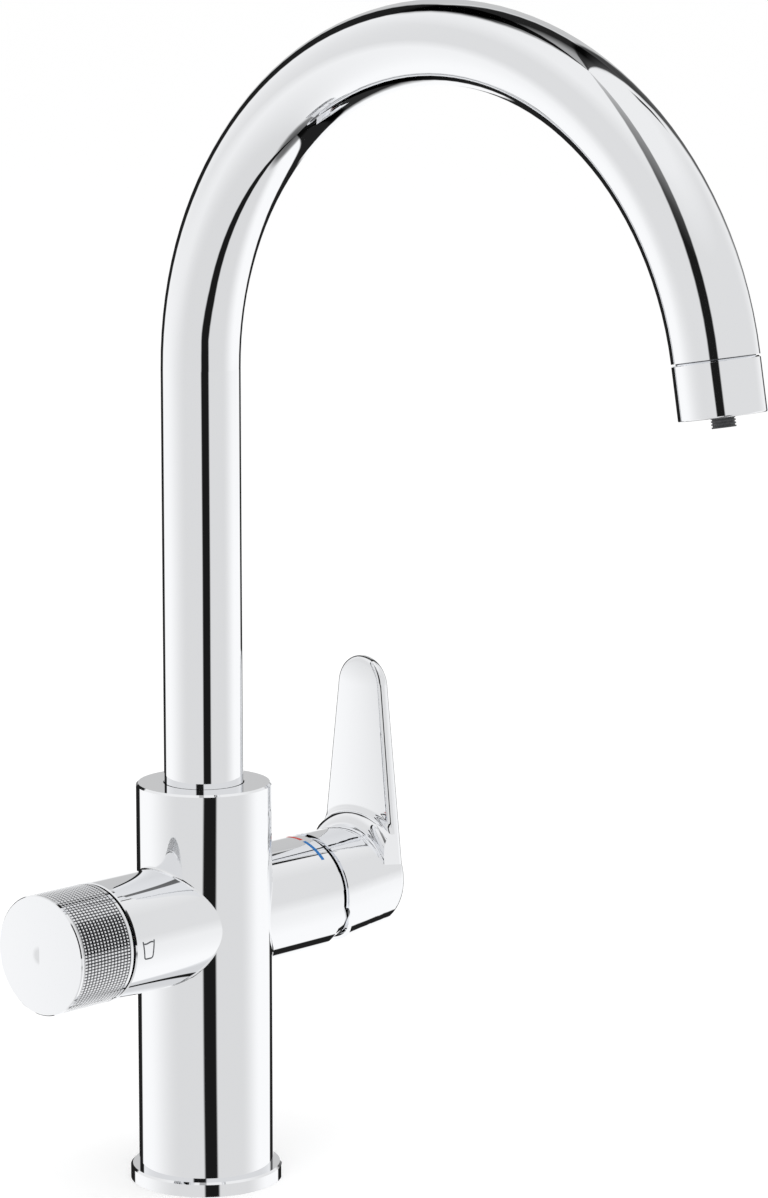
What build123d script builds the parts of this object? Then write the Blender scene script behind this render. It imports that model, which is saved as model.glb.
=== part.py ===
from build123d import *
import math
import os

# A kitchen mixer tap with a separate valve for filtered water.
# +Z is up, the origin is on the column's axis at the worktop, the spout points to -Y,
# the filtered water knob is at -X and the mixer lever is at +X. All sizes are millimetres.

# Fits that several pieces share
running_clearance = 0.06
seat_clearance = 0.04
loose_clearance = 0.2
seal_squeeze = 0.03

# Column and base ring
column_diameter = 47.0
column_above_handles = 47.7
column_top_chamfer = 0.7
ring_diameter = 53.0
ring_height = 5.0
ring_chamfer = 0.7
gasket_width = 2.6
gasket_depth = 1.8
gasket_inset = 1.6

# Side barrels, both on one axis
handle_axis_height = 93.3
barrel_diameter = 41.0
left_barrel_end = 52.1
right_barrel_end = 49.2
barrel_rim_chamfer = 0.4
barrel_root_fillet = 0.8

# Base block with its three inlets and the stud holes
block_diameter = 39.0
block_height = 58.0
block_seal_width = 2.0
block_seal_height = 2.2
block_seal_from_top = 8.0
block_seal_pitch = 10.0
inlet_radius = 4.5
inlet_depth = 14.0
feed_inlet_x = -3.5
feed_inlet_y = 9.2
filtered_inlet_x = -11.5
feed_channel_radius = 3.2
filtered_channel_radius = 2.4
stud_hole_radius = 2.5
stud_hole_depth = 16.0
stud_hole_x = 11.5
stud_hole_y = 7.0

# Spout
spout_diameter = 27.5
spout_wall = 1.2
spout_arc_height = 284.8
spout_arc_radius = 112.5
spout_arc_sweep = 170.0
outlet_sleeve_length = 17.4
outlet_seam = 0.35
outlet_wall = 1.4
outlet_edge_fillet = 0.5
outlet_seam_chamfer = 0.5
spout_mouth_gap = 0.3
spout_insert_depth = 9.0

# Spout socket, the nipple that turns in it, and its seals
socket_diameter = 24.0
socket_depth = 27.0
nipple_floor_gap = 0.6
nipple_bore = 18.6
nipple_overlap = 18.0
spout_seal_width = 1.5
spout_seal_height = 2.2
spout_seal_low = 2.4
spout_seal_pitch = 5.0
slide_washer_thickness = 1.2
slide_washer_width = 1.6
lock_groove_offset = 13.7
lock_groove_width = 3.4
lock_groove_depth = 1.0
lock_screw_radius = 2.5
lock_screw_length = 8.0
lock_screw_inset = 0.8
lock_tip_radius = 1.3
lock_tip_gap = 0.3
hex_key_radius = 1.3
hex_key_depth = 2.0

# Hose for filtered water inside the spout
hose_diameter = 6.4
hose_bore = 4.0
hose_fitting_diameter = 9.4
hose_fitting_height = 10.0
hose_seat_depth = 6.0

# Outlet pieces, placed by their distance past the spout's arc
joiner_wall = 1.6
joiner_reach = 6.0
joiner_length = 8.0
joiner_bend_gap = 0.3
aerator_seal_height = 1.6
aerator_seal_width = 2.8
aerator_recess = 1.2
aerator_hole_count = 12
aerator_hole_radius = 0.9
aerator_hole_circle = 8.3
nozzle_diameter = 7.6
nozzle_projection = 3.2
nozzle_length = 11.4
nozzle_bore = 4.4
nozzle_seat_depth = 3.4
nozzle_rib_count = 3
nozzle_rib_depth = 0.35
nozzle_rib_pitch = 0.95

# Filtered water valve in the left barrel
valve_floor = 24.0
valve_radius = 11.0
valve_hex_across_flats = 22.0
valve_hex_thickness = 4.0
valve_hex_end = 50.0
valve_hex_pocket_radius = 14.0
valve_neck_radius = 7.0
valve_neck_end = 57.5
valve_seal_thickness = 1.6
valve_seal_width = 3.4
valve_chamber_radius = 9.0
valve_chamber_depth = 8.5
valve_side_port_radius = 2.2
valve_disc_thickness = 2.6
valve_disc_port_radius = 2.3
valve_disc_port_offset = 4.6
spindle_radius = 4.0
spindle_end = 69.0
spindle_flange_thickness = 2.7
spindle_seal_width = 1.5
spindle_seal_height = 2.0
spindle_seal_place = 42.0
clip_thickness = 1.0
clip_groove_depth = 0.8
clip_width = 2.2
clip_gap = 0.4

# Knob for filtered water
knob_diameter = 41.0
knob_gap = 1.1
knob_face_end = 77.2
knob_face_thickness = 1.15
knob_face_bulge = 0.45
knob_face_chamfer = 0.3
knob_face_gap = 0.15
knob_rim_width = 1.3
knob_sleeve_wall = 1.3
knob_wall = 1.6
knob_end_wall = 5.0
knurl_row_count = 14
knurl_depth = 0.4
knurl_flat = 0.45
hub_radius = 9.0
hub_gap = 1.2
hub_end_inset = 0.8
knob_screw_radius = 2.0
knob_screw_length = 9.0
knob_screw_head_radius = 3.6
knob_screw_head_height = 2.4

# Mixer cartridge in the right barrel
cartridge_floor = 17.0
cartridge_pocket_radius = 17.6
cartridge_length = 22.6
cartridge_floor_thickness = 2.6
cartridge_wall = 1.5
cartridge_end_wall = 2.5
cartridge_seal_thickness = 1.4
cartridge_seal_width = 1.5
mixed_port_rise = 9.0
feed_port_rise = -3.0
mixed_channel_x = 8.4
mixed_channel_radius = 2.9
fixed_disc_thickness = 4.0
moving_disc_radius = 9.6
moving_disc_thickness = 3.5
disc_recess_radius = 5.0
disc_recess_depth = 1.6
holder_base_thickness = 3.4
holder_radius = 5.5
holder_socket_width = 5.2
nut_bore_radius = 13.2
nut_end_inset = 0.3
nut_notch_count = 6
nut_notch_radius = 1.6
turret_radius = 12.0
turret_collar_width = 3.4
turret_collar_thickness = 2.9
turret_past_pivot = 5.0
turret_slot_height = 18.4
turret_cavity_width = 11.6
turret_cavity_height = 17.8

# Lever, its stem and pivot, and the cover under its cap
tilt_limit = 25.0
pivot_past_barrel = 2.8
pivot_pin_radius = 1.5
stem_width = 7.8
stem_hub_radius = 4.6
stem_arm_length = 14.0
stem_arm_thickness = 3.0
stem_arm_width = 6.0
stem_ball_radius = 2.5
stem_reach = 27.4
cover_clearance = 0.6
cover_wall = 1.2
cover_opening_radius = 13.4
cover_flange_thickness = 1.2
lever_gap = 2.3
lever_end = 83.3
lever_wall = 1.3
lever_cavity_gap = 0.3
lever_rim_drop = 3.1
lever_rim_slant = 31.4
lever_end_diameter = 37.7
lever_edge_fillet = 3.2
blade_foot_thickness = 6.0
blade_tip_thickness = 5.1
blade_inner_fillet = 1.8
blade_top_height = 174.9
blade_top_radius = 10.9
blade_foot_inset = 0.3
blade_root_fillet = 5.0
blade_root_sink = 0.05
grub_screw_radius = 2.5
grub_screw_length = 7.0
grub_screw_x = 75.5
grub_plug_length = 2.0
grub_plug_inset = 0.8

# Values that follow from the sizes above
column_radius = column_diameter / 2
column_height = handle_axis_height + column_above_handles
ring_radius = ring_diameter / 2
block_radius = block_diameter / 2
barrel_radius = barrel_diameter / 2
spout_radius = spout_diameter / 2
spout_inner = spout_radius - spout_wall
sleeve_inner = spout_radius - outlet_wall
socket_radius = socket_diameter / 2
socket_floor = column_height - socket_depth
spout_foot = column_height - spout_insert_depth
shoulder_height = spout_foot - slide_washer_thickness
mouth_radius = spout_radius + spout_mouth_gap
nipple_radius = socket_radius - running_clearance
nipple_low = socket_floor + nipple_floor_gap
lock_height = nipple_low + lock_groove_offset
hose_radius = hose_diameter / 2
hose_low = socket_floor + hose_fitting_height - hose_seat_depth
nozzle_radius = nozzle_diameter / 2
sleeve_end = outlet_seam + outlet_sleeve_length
nozzle_end = sleeve_end + nozzle_projection
nozzle_start = nozzle_end - nozzle_length
knob_radius = knob_diameter / 2
knob_start = left_barrel_end + knob_gap
knob_face_start = knob_face_end - knob_face_thickness
knob_core_radius = knob_radius - knob_sleeve_wall
hub_start = valve_neck_end + clip_gap + clip_thickness + hub_gap
hub_end = knob_face_start - hub_end_inset
valve_start = valve_floor + valve_seal_thickness
valve_chamber_end = valve_start + valve_chamber_depth
valve_port_x = valve_start + 2 * valve_disc_thickness + valve_side_port_radius
cartridge_start = cartridge_floor + cartridge_seal_thickness
cartridge_end = cartridge_start + cartridge_length
cartridge_radius = cartridge_pocket_radius - loose_clearance
cartridge_inner = cartridge_radius - cartridge_wall
disc_floor = cartridge_start + cartridge_floor_thickness
moving_disc_start = disc_floor + fixed_disc_thickness
holder_start = moving_disc_start + moving_disc_thickness
pivot_x = right_barrel_end + pivot_past_barrel
holder_travel = 2 * stem_arm_length * math.sin(math.radians(tilt_limit / 2))
holder_rest_rise = -holder_travel / 2
ball_x = pivot_x - stem_arm_length * math.cos(math.radians(tilt_limit / 2))
stem_end = pivot_x + stem_reach
lever_rim = right_barrel_end + lever_gap
cover_radius = barrel_radius - lever_wall - cover_clearance
lever_cavity_end = pivot_x + cover_radius + lever_cavity_gap
lever_taper = (barrel_radius - lever_end_diameter / 2) / (lever_end - lever_rim)
blade_inner_face = lever_end - blade_foot_thickness


def upright(radius, low, high, x=0.0, y=0.0):
    """A round bar parallel to Z between two heights."""
    bar = Cylinder(radius, high - low, align=(Align.CENTER, Align.CENTER, Align.MIN))
    return Pos(x, y, low) * bar


def along_handles(radius, x_from, x_to, y=0.0, rise=0.0):
    """A round bar parallel to X, placed from the handles' axis."""
    low = min(x_from, x_to)
    bar = Cylinder(radius, abs(x_to - x_from), align=(Align.CENTER, Align.CENTER, Align.MIN))
    return Pos(low, y, handle_axis_height + rise) * Rot(0, 90, 0) * bar


def across_handles(radius, length, x, rise=0.0):
    """A round bar parallel to Y, centred on the handles' plane."""
    return Pos(x, 0, handle_axis_height + rise) * Rot(90, 0, 0) * Cylinder(radius, length)


def bar_along_handles(x_from, x_to, width, height, rise=0.0):
    """A rectangular bar parallel to X, centred on the handles' axis plus a rise."""
    place = Pos((x_from + x_to) / 2, 0, handle_axis_height + rise)
    return place * Box(x_to - x_from, width, height)


def turned(points, height=handle_axis_height):
    """A solid of revolution about the handles' axis from points of x and radius."""
    outline = Plane.XZ * make_face(Polyline(*points, close=True))
    return Pos(0, 0, height) * revolve(outline, Axis.X, 360)


def washer(outer, inner, low, high):
    """A flat ring about the column's axis."""
    return upright(outer, low, high) - upright(inner, low - 1, high + 1)


def washer_along_handles(outer, inner, x_from, x_to, y=0.0, rise=0.0):
    """A flat ring about an axis parallel to X."""
    low, high = min(x_from, x_to), max(x_from, x_to)
    hole = along_handles(inner, low - 1, high + 1, y, rise)
    return along_handles(outer, low, high, y, rise) - hole


def outlet_plane(distance):
    """The plane square to the spout's centre line at a distance past the end of its arc."""
    turn = math.radians(spout_arc_sweep)
    direction = Vector(0, -math.sin(turn), math.cos(turn))
    end_y = -spout_arc_radius * (1 - math.cos(turn))
    end_z = spout_arc_height + spout_arc_radius * math.sin(turn)
    place = Vector(0, end_y, end_z) + direction * distance
    return Plane(origin=place, x_dir=(1, 0, 0), z_dir=direction)


def bar_at_outlet(radius, near, far):
    """A round bar along the outlet's axis between two distances past the arc."""
    return extrude(outlet_plane(near) * Circle(radius), far - near)


def spout_line(low, past_arc):
    """The spout's centre line: a straight rise, one arc, and a straight tail."""
    foot = (0, 0, spout_arc_height)
    middle = math.radians(spout_arc_sweep / 2)
    middle_y = -spout_arc_radius * (1 - math.cos(middle))
    middle_z = spout_arc_height + spout_arc_radius * math.sin(middle)
    arc_end = outlet_plane(0).origin
    line = Line((0, 0, low), foot) + ThreePointArc(foot, (0, middle_y, middle_z), arc_end)
    if past_arc > 0:
        line += Line(arc_end, outlet_plane(past_arc).origin)
    return line


def bar_along_spout(radius, low, past_arc):
    """A round bar that follows the spout's centre line."""
    return sweep(Pos(0, 0, low) * Circle(radius), path=spout_line(low, past_arc))


# Base ring, gasket and base block


def make_base_ring():
    """The flange ring round the column's foot, grooved below for its gasket."""
    ring = upright(ring_radius, 0, ring_height)
    ring = chamfer(ring.edges().group_by(Axis.Z)[-1], ring_chamfer)
    groove_outer = ring_radius - gasket_inset
    groove = washer(groove_outer, groove_outer - gasket_width, -1, gasket_depth)
    return ring - upright(block_radius + seat_clearance, -1, ring_height + 1) - groove


def make_base_gasket():
    """A flat rubber ring in the base ring's groove, level with its underside."""
    outer = ring_radius - gasket_inset - seat_clearance
    inner = outer - gasket_width + 2 * seat_clearance
    return washer(outer, inner, 0, gasket_depth - seat_clearance)


def feed_inlets():
    """The hot and cold inlets' places, as x and y."""
    return (feed_inlet_x, -feed_inlet_y), (feed_inlet_x, feed_inlet_y)


def block_seal_levels():
    """The heights of the two grooves round the base block."""
    upper = block_height - block_seal_from_top
    return upper - block_seal_pitch, upper


def make_base_block():
    """The brass block in the column's foot, with inlets, channels and stud holes."""
    radius = block_radius - seat_clearance
    block = upright(radius, 0, block_height)
    for x, y in (*feed_inlets(), (filtered_inlet_x, 0)):
        block -= upright(inlet_radius, -1, inlet_depth, x, y)
    for x, y in feed_inlets():
        block -= upright(feed_channel_radius, 0, block_height + 1, x, y)
    block -= upright(filtered_channel_radius, 0, block_height + 1, filtered_inlet_x, 0)
    for side in (-1, 1):
        block -= upright(stud_hole_radius, -1, stud_hole_depth, stud_hole_x, side * stud_hole_y)
    for level in block_seal_levels():
        inner = block_radius - block_seal_width
        block -= washer(block_radius, inner, level, level + block_seal_height)
    return block


def make_block_seals():
    """Two rubber rings round the base block."""
    outer = block_radius - seal_squeeze
    inner = block_radius - block_seal_width + seal_squeeze
    rings = []
    for level in block_seal_levels():
        low = level + seal_squeeze
        rings.append(washer(outer, inner, low, level + block_seal_height - seal_squeeze))
    return Compound(children=rings)


# Column


def feed_ways():
    """Drilled ways from the base block up and across to the mixer cartridge."""
    ways = []
    port_height = handle_axis_height + feed_port_rise
    for x, y in feed_inlets():
        ways.append(upright(feed_channel_radius, block_height - 1, port_height, x, y))
        ways.append(along_handles(feed_channel_radius, x, cartridge_floor + 1, y, feed_port_rise))
    return ways


def mixed_way():
    """The way from the cartridge's outlet up into the spout's socket."""
    low = handle_axis_height + mixed_port_rise
    rise = upright(mixed_channel_radius, low, socket_floor + 1, mixed_channel_x)
    reach = cartridge_floor + 1
    return rise + along_handles(mixed_channel_radius, mixed_channel_x, reach, 0, mixed_port_rise)


def filtered_ways():
    """The way into the filtered water valve, and the sloping way from it to the hose."""
    radius = filtered_channel_radius
    supply = upright(radius, block_height - 1, handle_axis_height, filtered_inlet_x)
    supply += along_handles(radius, filtered_inlet_x, -valve_floor - 1)
    start = Vector(-valve_port_x, 0, handle_axis_height + valve_radius)
    finish = Vector(0, 0, socket_floor + 1)
    slope = Plane(origin=start, z_dir=finish - start)
    return supply, extrude(slope * Circle(radius), (finish - start).length)


def make_column():
    """The cast column with both side barrels, bored for the block, valves and spout."""
    body = upright(column_radius, ring_height, column_height)
    body = chamfer(body.edges().group_by(Axis.Z)[-1], column_top_chamfer)
    left = along_handles(barrel_radius, -left_barrel_end, 0)
    left = chamfer(left.edges().group_by(Axis.X)[0], barrel_rim_chamfer)
    right = along_handles(barrel_radius, 0, right_barrel_end)
    right = chamfer(right.edges().group_by(Axis.X)[-1], barrel_rim_chamfer)
    body += left + right
    body = fillet(body.edges().filter_by(GeomType.BSPLINE), barrel_root_fillet)
    body -= upright(block_radius, ring_height - 1, block_height)
    body -= upright(mouth_radius, shoulder_height, column_height + 1)
    body -= upright(socket_radius, socket_floor, shoulder_height + 1)
    body -= along_handles(valve_radius + seat_clearance, -left_barrel_end - 1, -valve_floor)
    hex_floor = -(valve_hex_end - valve_hex_thickness)
    body -= along_handles(valve_hex_pocket_radius, -left_barrel_end - 1, hex_floor)
    body -= along_handles(cartridge_pocket_radius, cartridge_floor, right_barrel_end + 1)
    for way in (*feed_ways(), mixed_way(), *filtered_ways()):
        body -= way
    hole = Pos(0, socket_radius - 1, lock_height) * Rot(-90, 0, 0) * Cylinder(
        lock_screw_radius, column_radius, align=(Align.CENTER, Align.CENTER, Align.MIN)
    )
    return body - hole


# Spout


def make_spout_tube():
    """The bent chromed tube, bored along its whole length."""
    return bar_along_spout(spout_radius, spout_foot, 0) - bar_along_spout(spout_inner, spout_foot, 0)


def spout_seal_levels():
    """The heights of the two grooves round the nipple."""
    return nipple_low + spout_seal_low, nipple_low + spout_seal_low + spout_seal_pitch


def make_spout_nipple():
    """The brass piece pressed into the tube's foot, which turns in the column's socket."""
    nipple = upright(nipple_radius, nipple_low, spout_foot)
    nipple += upright(spout_inner - seat_clearance, spout_foot, spout_foot + nipple_overlap)
    for low in spout_seal_levels():
        nipple -= washer(socket_radius, socket_radius - spout_seal_width, low, low + spout_seal_height)
    groove_low = lock_height - lock_groove_width / 2
    groove_inner = nipple_radius - lock_groove_depth
    nipple -= washer(socket_radius, groove_inner, groove_low, groove_low + lock_groove_width)
    return nipple - upright(nipple_bore / 2, nipple_low - 1, spout_foot + nipple_overlap + 1)


def make_spout_seals():
    """Two rubber rings in the nipple's grooves."""
    outer = socket_radius - seal_squeeze
    inner = socket_radius - spout_seal_width + seal_squeeze
    rings = []
    for level in spout_seal_levels():
        low = level + seal_squeeze
        rings.append(washer(outer, inner, low, level + spout_seal_height - seal_squeeze))
    return Compound(children=rings)


def make_slide_washer():
    """The plastic washer that the tube's foot turns on."""
    outer = mouth_radius - seat_clearance
    return washer(outer, outer - slide_washer_width, shoulder_height, spout_foot - seat_clearance)


def make_lock_screw():
    """The grub screw at the column's back, whose tip keeps the spout down."""
    back = column_radius - lock_screw_inset
    tip_end = nipple_radius - lock_groove_depth + lock_tip_gap
    screw = Cylinder(
        lock_screw_radius - seat_clearance,
        lock_screw_length,
        align=(Align.CENTER, Align.CENTER, Align.MAX),
    )
    tip = Cylinder(lock_tip_radius, back - tip_end, align=(Align.CENTER, Align.CENTER, Align.MAX))
    key = extrude(RegularPolygon(hex_key_radius, 6), -hex_key_depth)
    return Pos(0, back, lock_height) * Rot(-90, 0, 0) * (screw + tip - key)


def make_hose_fitting():
    """The brass fitting on the socket's floor that the hose plugs into."""
    top = socket_floor + hose_fitting_height
    fitting = upright(hose_fitting_diameter / 2, socket_floor, top)
    fitting -= upright(hose_bore / 2, socket_floor - 1, top + 1)
    return fitting - upright(hose_radius + running_clearance, hose_low, top + 1)


def make_filtered_hose():
    """The plastic hose that carries filtered water through the whole spout."""
    end = nozzle_start + nozzle_seat_depth - seat_clearance
    start = hose_low + seat_clearance
    return bar_along_spout(hose_radius, start, end) - bar_along_spout(hose_bore / 2, start, end)


def make_outlet_sleeve():
    """The chromed sleeve past the seam, which holds the aerator."""
    sleeve = bar_at_outlet(spout_radius, outlet_seam, sleeve_end)
    sleeve = fillet(sleeve.edges().sort_by(Axis.Z)[0], outlet_edge_fillet)
    sleeve = chamfer(sleeve.edges().sort_by(Axis.Z)[-1], outlet_seam_chamfer)
    return sleeve - bar_at_outlet(sleeve_inner, outlet_seam - 1, sleeve_end + 1)


def make_outlet_joiner():
    """The brass ring that joins the sleeve to the tube."""
    joiner = bar_at_outlet(spout_inner - joiner_bend_gap, -joiner_reach, outlet_seam)
    joiner += bar_at_outlet(sleeve_inner - seat_clearance, 0, joiner_length)
    inner = sleeve_inner - joiner_wall
    return joiner - bar_at_outlet(inner, -joiner_reach - 1, joiner_length + 1)


def make_aerator_seal():
    """The rubber ring between the joiner and the aerator."""
    outer = sleeve_inner - seat_clearance
    ring = bar_at_outlet(outer, joiner_length, joiner_length + aerator_seal_height)
    return ring - bar_at_outlet(outer - aerator_seal_width, joiner_length - 1, sleeve_end)


def make_aerator():
    """The plastic insert with a ring of holes round the nozzle's place."""
    start = joiner_length + aerator_seal_height
    end = sleeve_end - aerator_recess
    insert = bar_at_outlet(sleeve_inner - seat_clearance, start, end)
    insert -= bar_at_outlet(nozzle_radius + seat_clearance, start - 1, end + 1)
    for place in PolarLocations(aerator_hole_circle, aerator_hole_count):
        hole = outlet_plane(start - 1) * place * Circle(aerator_hole_radius)
        insert -= extrude(hole, end - start + 2)
    return insert


def make_filtered_nozzle():
    """The dark ribbed nozzle in the middle of the outlet."""
    nozzle = bar_at_outlet(nozzle_radius, nozzle_start, nozzle_end)
    for number in range(nozzle_rib_count):
        far = nozzle_end - (number + 0.5) * nozzle_rib_pitch
        near = far - nozzle_rib_pitch / 2
        groove = bar_at_outlet(nozzle_radius + 1, near, far)
        nozzle -= groove - bar_at_outlet(nozzle_radius - nozzle_rib_depth, near - 1, far + 1)
    nozzle -= bar_at_outlet(nozzle_bore / 2, nozzle_start - 1, nozzle_end + 1)
    seat_end = nozzle_start + nozzle_seat_depth
    return nozzle - bar_at_outlet(hose_radius + seat_clearance, nozzle_start - 1, seat_end)


# Filtered water valve in the left barrel


def make_valve_seal():
    """The rubber ring between the valve and its pocket's floor."""
    return washer_along_handles(valve_radius, valve_radius - valve_seal_width, -valve_floor, -valve_start)


def make_valve_body():
    """The brass valve body: thread, hexagon and neck, with a chamber for the discs."""
    body = along_handles(valve_radius, -valve_start, -valve_hex_end)
    body += along_handles(valve_neck_radius, -valve_hex_end + 1, -valve_neck_end)
    hexagon = Plane(origin=(-valve_hex_end, 0, handle_axis_height), z_dir=(1, 0, 0)) * RegularPolygon(
        valve_hex_across_flats / 2, 6, major_radius=False
    )
    body += extrude(hexagon, valve_hex_thickness)
    body -= along_handles(valve_chamber_radius, -valve_start + 1, -valve_chamber_end)
    body -= along_handles(spindle_radius + running_clearance, -valve_start, -valve_neck_end - 1)
    seal_outer = spindle_radius + spindle_seal_width
    seal_end = spindle_seal_place + spindle_seal_height
    body -= along_handles(seal_outer, -spindle_seal_place, -seal_end)
    top = handle_axis_height + valve_radius + 1
    return body - upright(valve_side_port_radius, handle_axis_height, top, -valve_port_x)


def make_spindle_seal():
    """The rubber ring round the spindle."""
    outer = spindle_radius + spindle_seal_width - seat_clearance
    near = -(spindle_seal_place + seat_clearance)
    far = -(spindle_seal_place + spindle_seal_height - seat_clearance)
    return washer_along_handles(outer, spindle_radius + seal_squeeze, near, far)


def valve_ports():
    """The two ports of a valve disc, as rises from the handles' axis."""
    return -valve_disc_port_offset, valve_disc_port_offset


def make_valve_fixed_disc():
    """The ceramic disc that stands still in the valve's chamber."""
    end = valve_start + valve_disc_thickness
    disc = along_handles(valve_chamber_radius - seat_clearance, -valve_start, -end)
    for rise in valve_ports():
        disc -= along_handles(valve_disc_port_radius, -valve_start + 1, -end - 1, 0, rise)
    return disc


def make_valve_moving_disc():
    """The ceramic disc that the spindle turns over the fixed one."""
    start = valve_start + valve_disc_thickness + running_clearance
    end = start + valve_disc_thickness - running_clearance
    disc = along_handles(valve_chamber_radius - loose_clearance, -start, -end)
    for side in (-1, 1):
        offset = side * valve_chamber_radius
        disc -= along_handles(valve_disc_port_offset, -start + 1, -end - 1, offset)
    return disc


def make_valve_spindle():
    """The brass spindle: drive flange, shaft, clip groove and screw hole."""
    start = valve_start + 2 * valve_disc_thickness
    flange_end = start + spindle_flange_thickness
    spindle = along_handles(valve_chamber_radius - loose_clearance, -start, -flange_end)
    spindle += along_handles(spindle_radius, -start, -spindle_end)
    groove_start = valve_neck_end + clip_gap
    spindle -= washer_along_handles(
        spindle_radius + 1, spindle_radius - clip_groove_depth, -groove_start, -groove_start - clip_thickness
    )
    screw_depth = knob_screw_length
    return spindle - along_handles(knob_screw_radius, -spindle_end - 1, -spindle_end + screw_depth)


def make_spindle_clip():
    """The steel ring that keeps the spindle in the valve."""
    inner = spindle_radius - clip_groove_depth + seat_clearance
    start = valve_neck_end + clip_gap + seat_clearance
    end = valve_neck_end + clip_gap + clip_thickness - seat_clearance
    ring = washer_along_handles(inner + clip_width, inner, -start, -end)
    mouth = bar_along_handles(-end - 1, -start + 1, inner, inner + clip_width + 1)
    return ring - Pos(0, 0, -(inner + clip_width + 1) / 2) * mouth


# Knob for filtered water


def make_knob_shell():
    """The knob's chromed cup: inner rim, plain wall under the knurled sleeve, end wall."""
    shell = along_handles(knob_core_radius, -knob_start, -knob_face_start)
    rim = along_handles(knob_radius, -knob_start, -knob_start - knob_rim_width)
    rim = chamfer(rim.edges().group_by(Axis.X)[-1], barrel_rim_chamfer)
    shell += rim
    cup_end = knob_face_start - knob_end_wall
    shell -= along_handles(knob_core_radius - knob_wall, -knob_start + 1, -cup_end)
    return shell - along_handles(hub_radius + seat_clearance, -cup_end, -knob_face_start - 1)


def make_knurled_sleeve():
    """The sleeve round the cup, with turned rows of V-grooves."""
    near = knob_start + knob_rim_width + seat_clearance
    far = knob_face_start - knob_face_gap
    pitch = (far - near - 2 * knurl_flat) / knurl_row_count
    outline = [(-near, knob_core_radius + seat_clearance), (-near, knob_radius)]
    for row in range(knurl_row_count):
        start = near + knurl_flat + row * pitch
        outline.append((-start, knob_radius))
        outline.append((-start - pitch / 2, knob_radius - knurl_depth))
    outline.append((-far + knurl_flat, knob_radius))
    outline.append((-far, knob_radius))
    outline.append((-far, knob_core_radius + seat_clearance))
    return turned(outline)


def make_knob_face():
    """The slightly domed end plate, with a spigot in the cup's end wall."""
    plate = along_handles(knob_radius, -knob_face_start, -knob_face_end)
    plate = chamfer(plate.edges().group_by(Axis.X)[0], knob_face_chamfer)
    half_width = knob_radius - knob_face_chamfer
    dome_radius = (half_width**2 + knob_face_bulge**2) / (2 * knob_face_bulge)
    dome_centre = -knob_face_end - knob_face_bulge + dome_radius
    dome = Pos(dome_centre, 0, handle_axis_height) * Rot(0, 90, 0) * Sphere(dome_radius)
    plate += dome & along_handles(half_width, -knob_face_end, -knob_face_end - 1)
    spigot_end = hub_end + seat_clearance
    return plate + along_handles(hub_radius - seat_clearance, -spigot_end, -knob_face_start)


def make_knob_hub():
    """The plastic hub that carries the knob on the spindle."""
    hub = along_handles(hub_radius, -hub_start, -hub_end)
    hub -= along_handles(spindle_radius, -hub_start + 1, -spindle_end)
    hub -= along_handles(knob_screw_radius + seat_clearance, -spindle_end + 1, -hub_end - 1)
    recess_floor = hub_end - knob_screw_head_height - seat_clearance
    return hub - along_handles(knob_screw_head_radius + seat_clearance, -recess_floor, -hub_end - 1)


def make_knob_screw():
    """The steel screw that holds the hub on the spindle."""
    head_start = hub_end - knob_screw_head_height
    head_end = hub_end - seat_clearance
    screw = along_handles(knob_screw_head_radius, -head_start, -head_end)
    tip = head_start - knob_screw_length
    screw += along_handles(knob_screw_radius - seat_clearance, -head_start, -tip)
    key_plane = Plane(origin=(-head_end, 0, handle_axis_height), z_dir=(1, 0, 0))
    return screw - extrude(key_plane * RegularPolygon(hex_key_radius, 6), hex_key_depth)


# Mixer cartridge in the right barrel


def cartridge_ports():
    """The cartridge's ports: y, rise and radius for hot, cold and mixed water."""
    hot = (-feed_inlet_y, feed_port_rise, feed_channel_radius)
    cold = (feed_inlet_y, feed_port_rise, feed_channel_radius)
    mixed = (0, mixed_port_rise, mixed_channel_radius)
    return hot, cold, mixed


def make_cartridge_seals():
    """Three rubber rings between the cartridge and its pocket's floor."""
    rings = []
    for y, rise, radius in cartridge_ports():
        outer = radius + cartridge_seal_width
        rings.append(washer_along_handles(outer, radius, cartridge_floor, cartridge_start, y, rise))
    return Compound(children=rings)


def make_cartridge_housing():
    """The cartridge's plastic housing, open at the end for the turret."""
    housing = along_handles(cartridge_radius, cartridge_start, cartridge_end)
    housing -= along_handles(cartridge_inner, disc_floor, cartridge_end - cartridge_end_wall)
    bore = turret_radius + running_clearance
    housing -= along_handles(bore, disc_floor, cartridge_end + 1)
    for y, rise, radius in cartridge_ports():
        housing -= along_handles(radius, cartridge_start - 1, disc_floor + 1, y, rise)
    return housing


def make_mixer_fixed_disc():
    """The ceramic disc on the cartridge's floor."""
    disc = along_handles(cartridge_inner - seat_clearance, disc_floor, moving_disc_start)
    for y, rise, radius in cartridge_ports():
        disc -= along_handles(radius, disc_floor - 1, moving_disc_start + 1, y, rise)
    return disc


def make_mixer_moving_disc():
    """The ceramic disc that slides and turns over the fixed one."""
    start = moving_disc_start + running_clearance
    disc = along_handles(moving_disc_radius, start, holder_start, 0, holder_rest_rise)
    recess_end = start + disc_recess_depth
    return disc - along_handles(disc_recess_radius, start - 1, recess_end, 0, holder_rest_rise)


def make_disc_holder():
    """The plastic holder on the moving disc, with a socket for the stem's ball."""
    base_end = holder_start + holder_base_thickness
    end = ball_x + stem_ball_radius + loose_clearance
    holder = along_handles(moving_disc_radius, holder_start, base_end, 0, holder_rest_rise)
    holder += along_handles(holder_radius, holder_start, end, 0, holder_rest_rise)
    socket_floor_x = ball_x - stem_ball_radius - 2 * loose_clearance
    width = stem_arm_width + 2 * loose_clearance
    socket = bar_along_handles(socket_floor_x, end + 1, width, holder_socket_width, holder_rest_rise)
    return holder - socket


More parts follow.
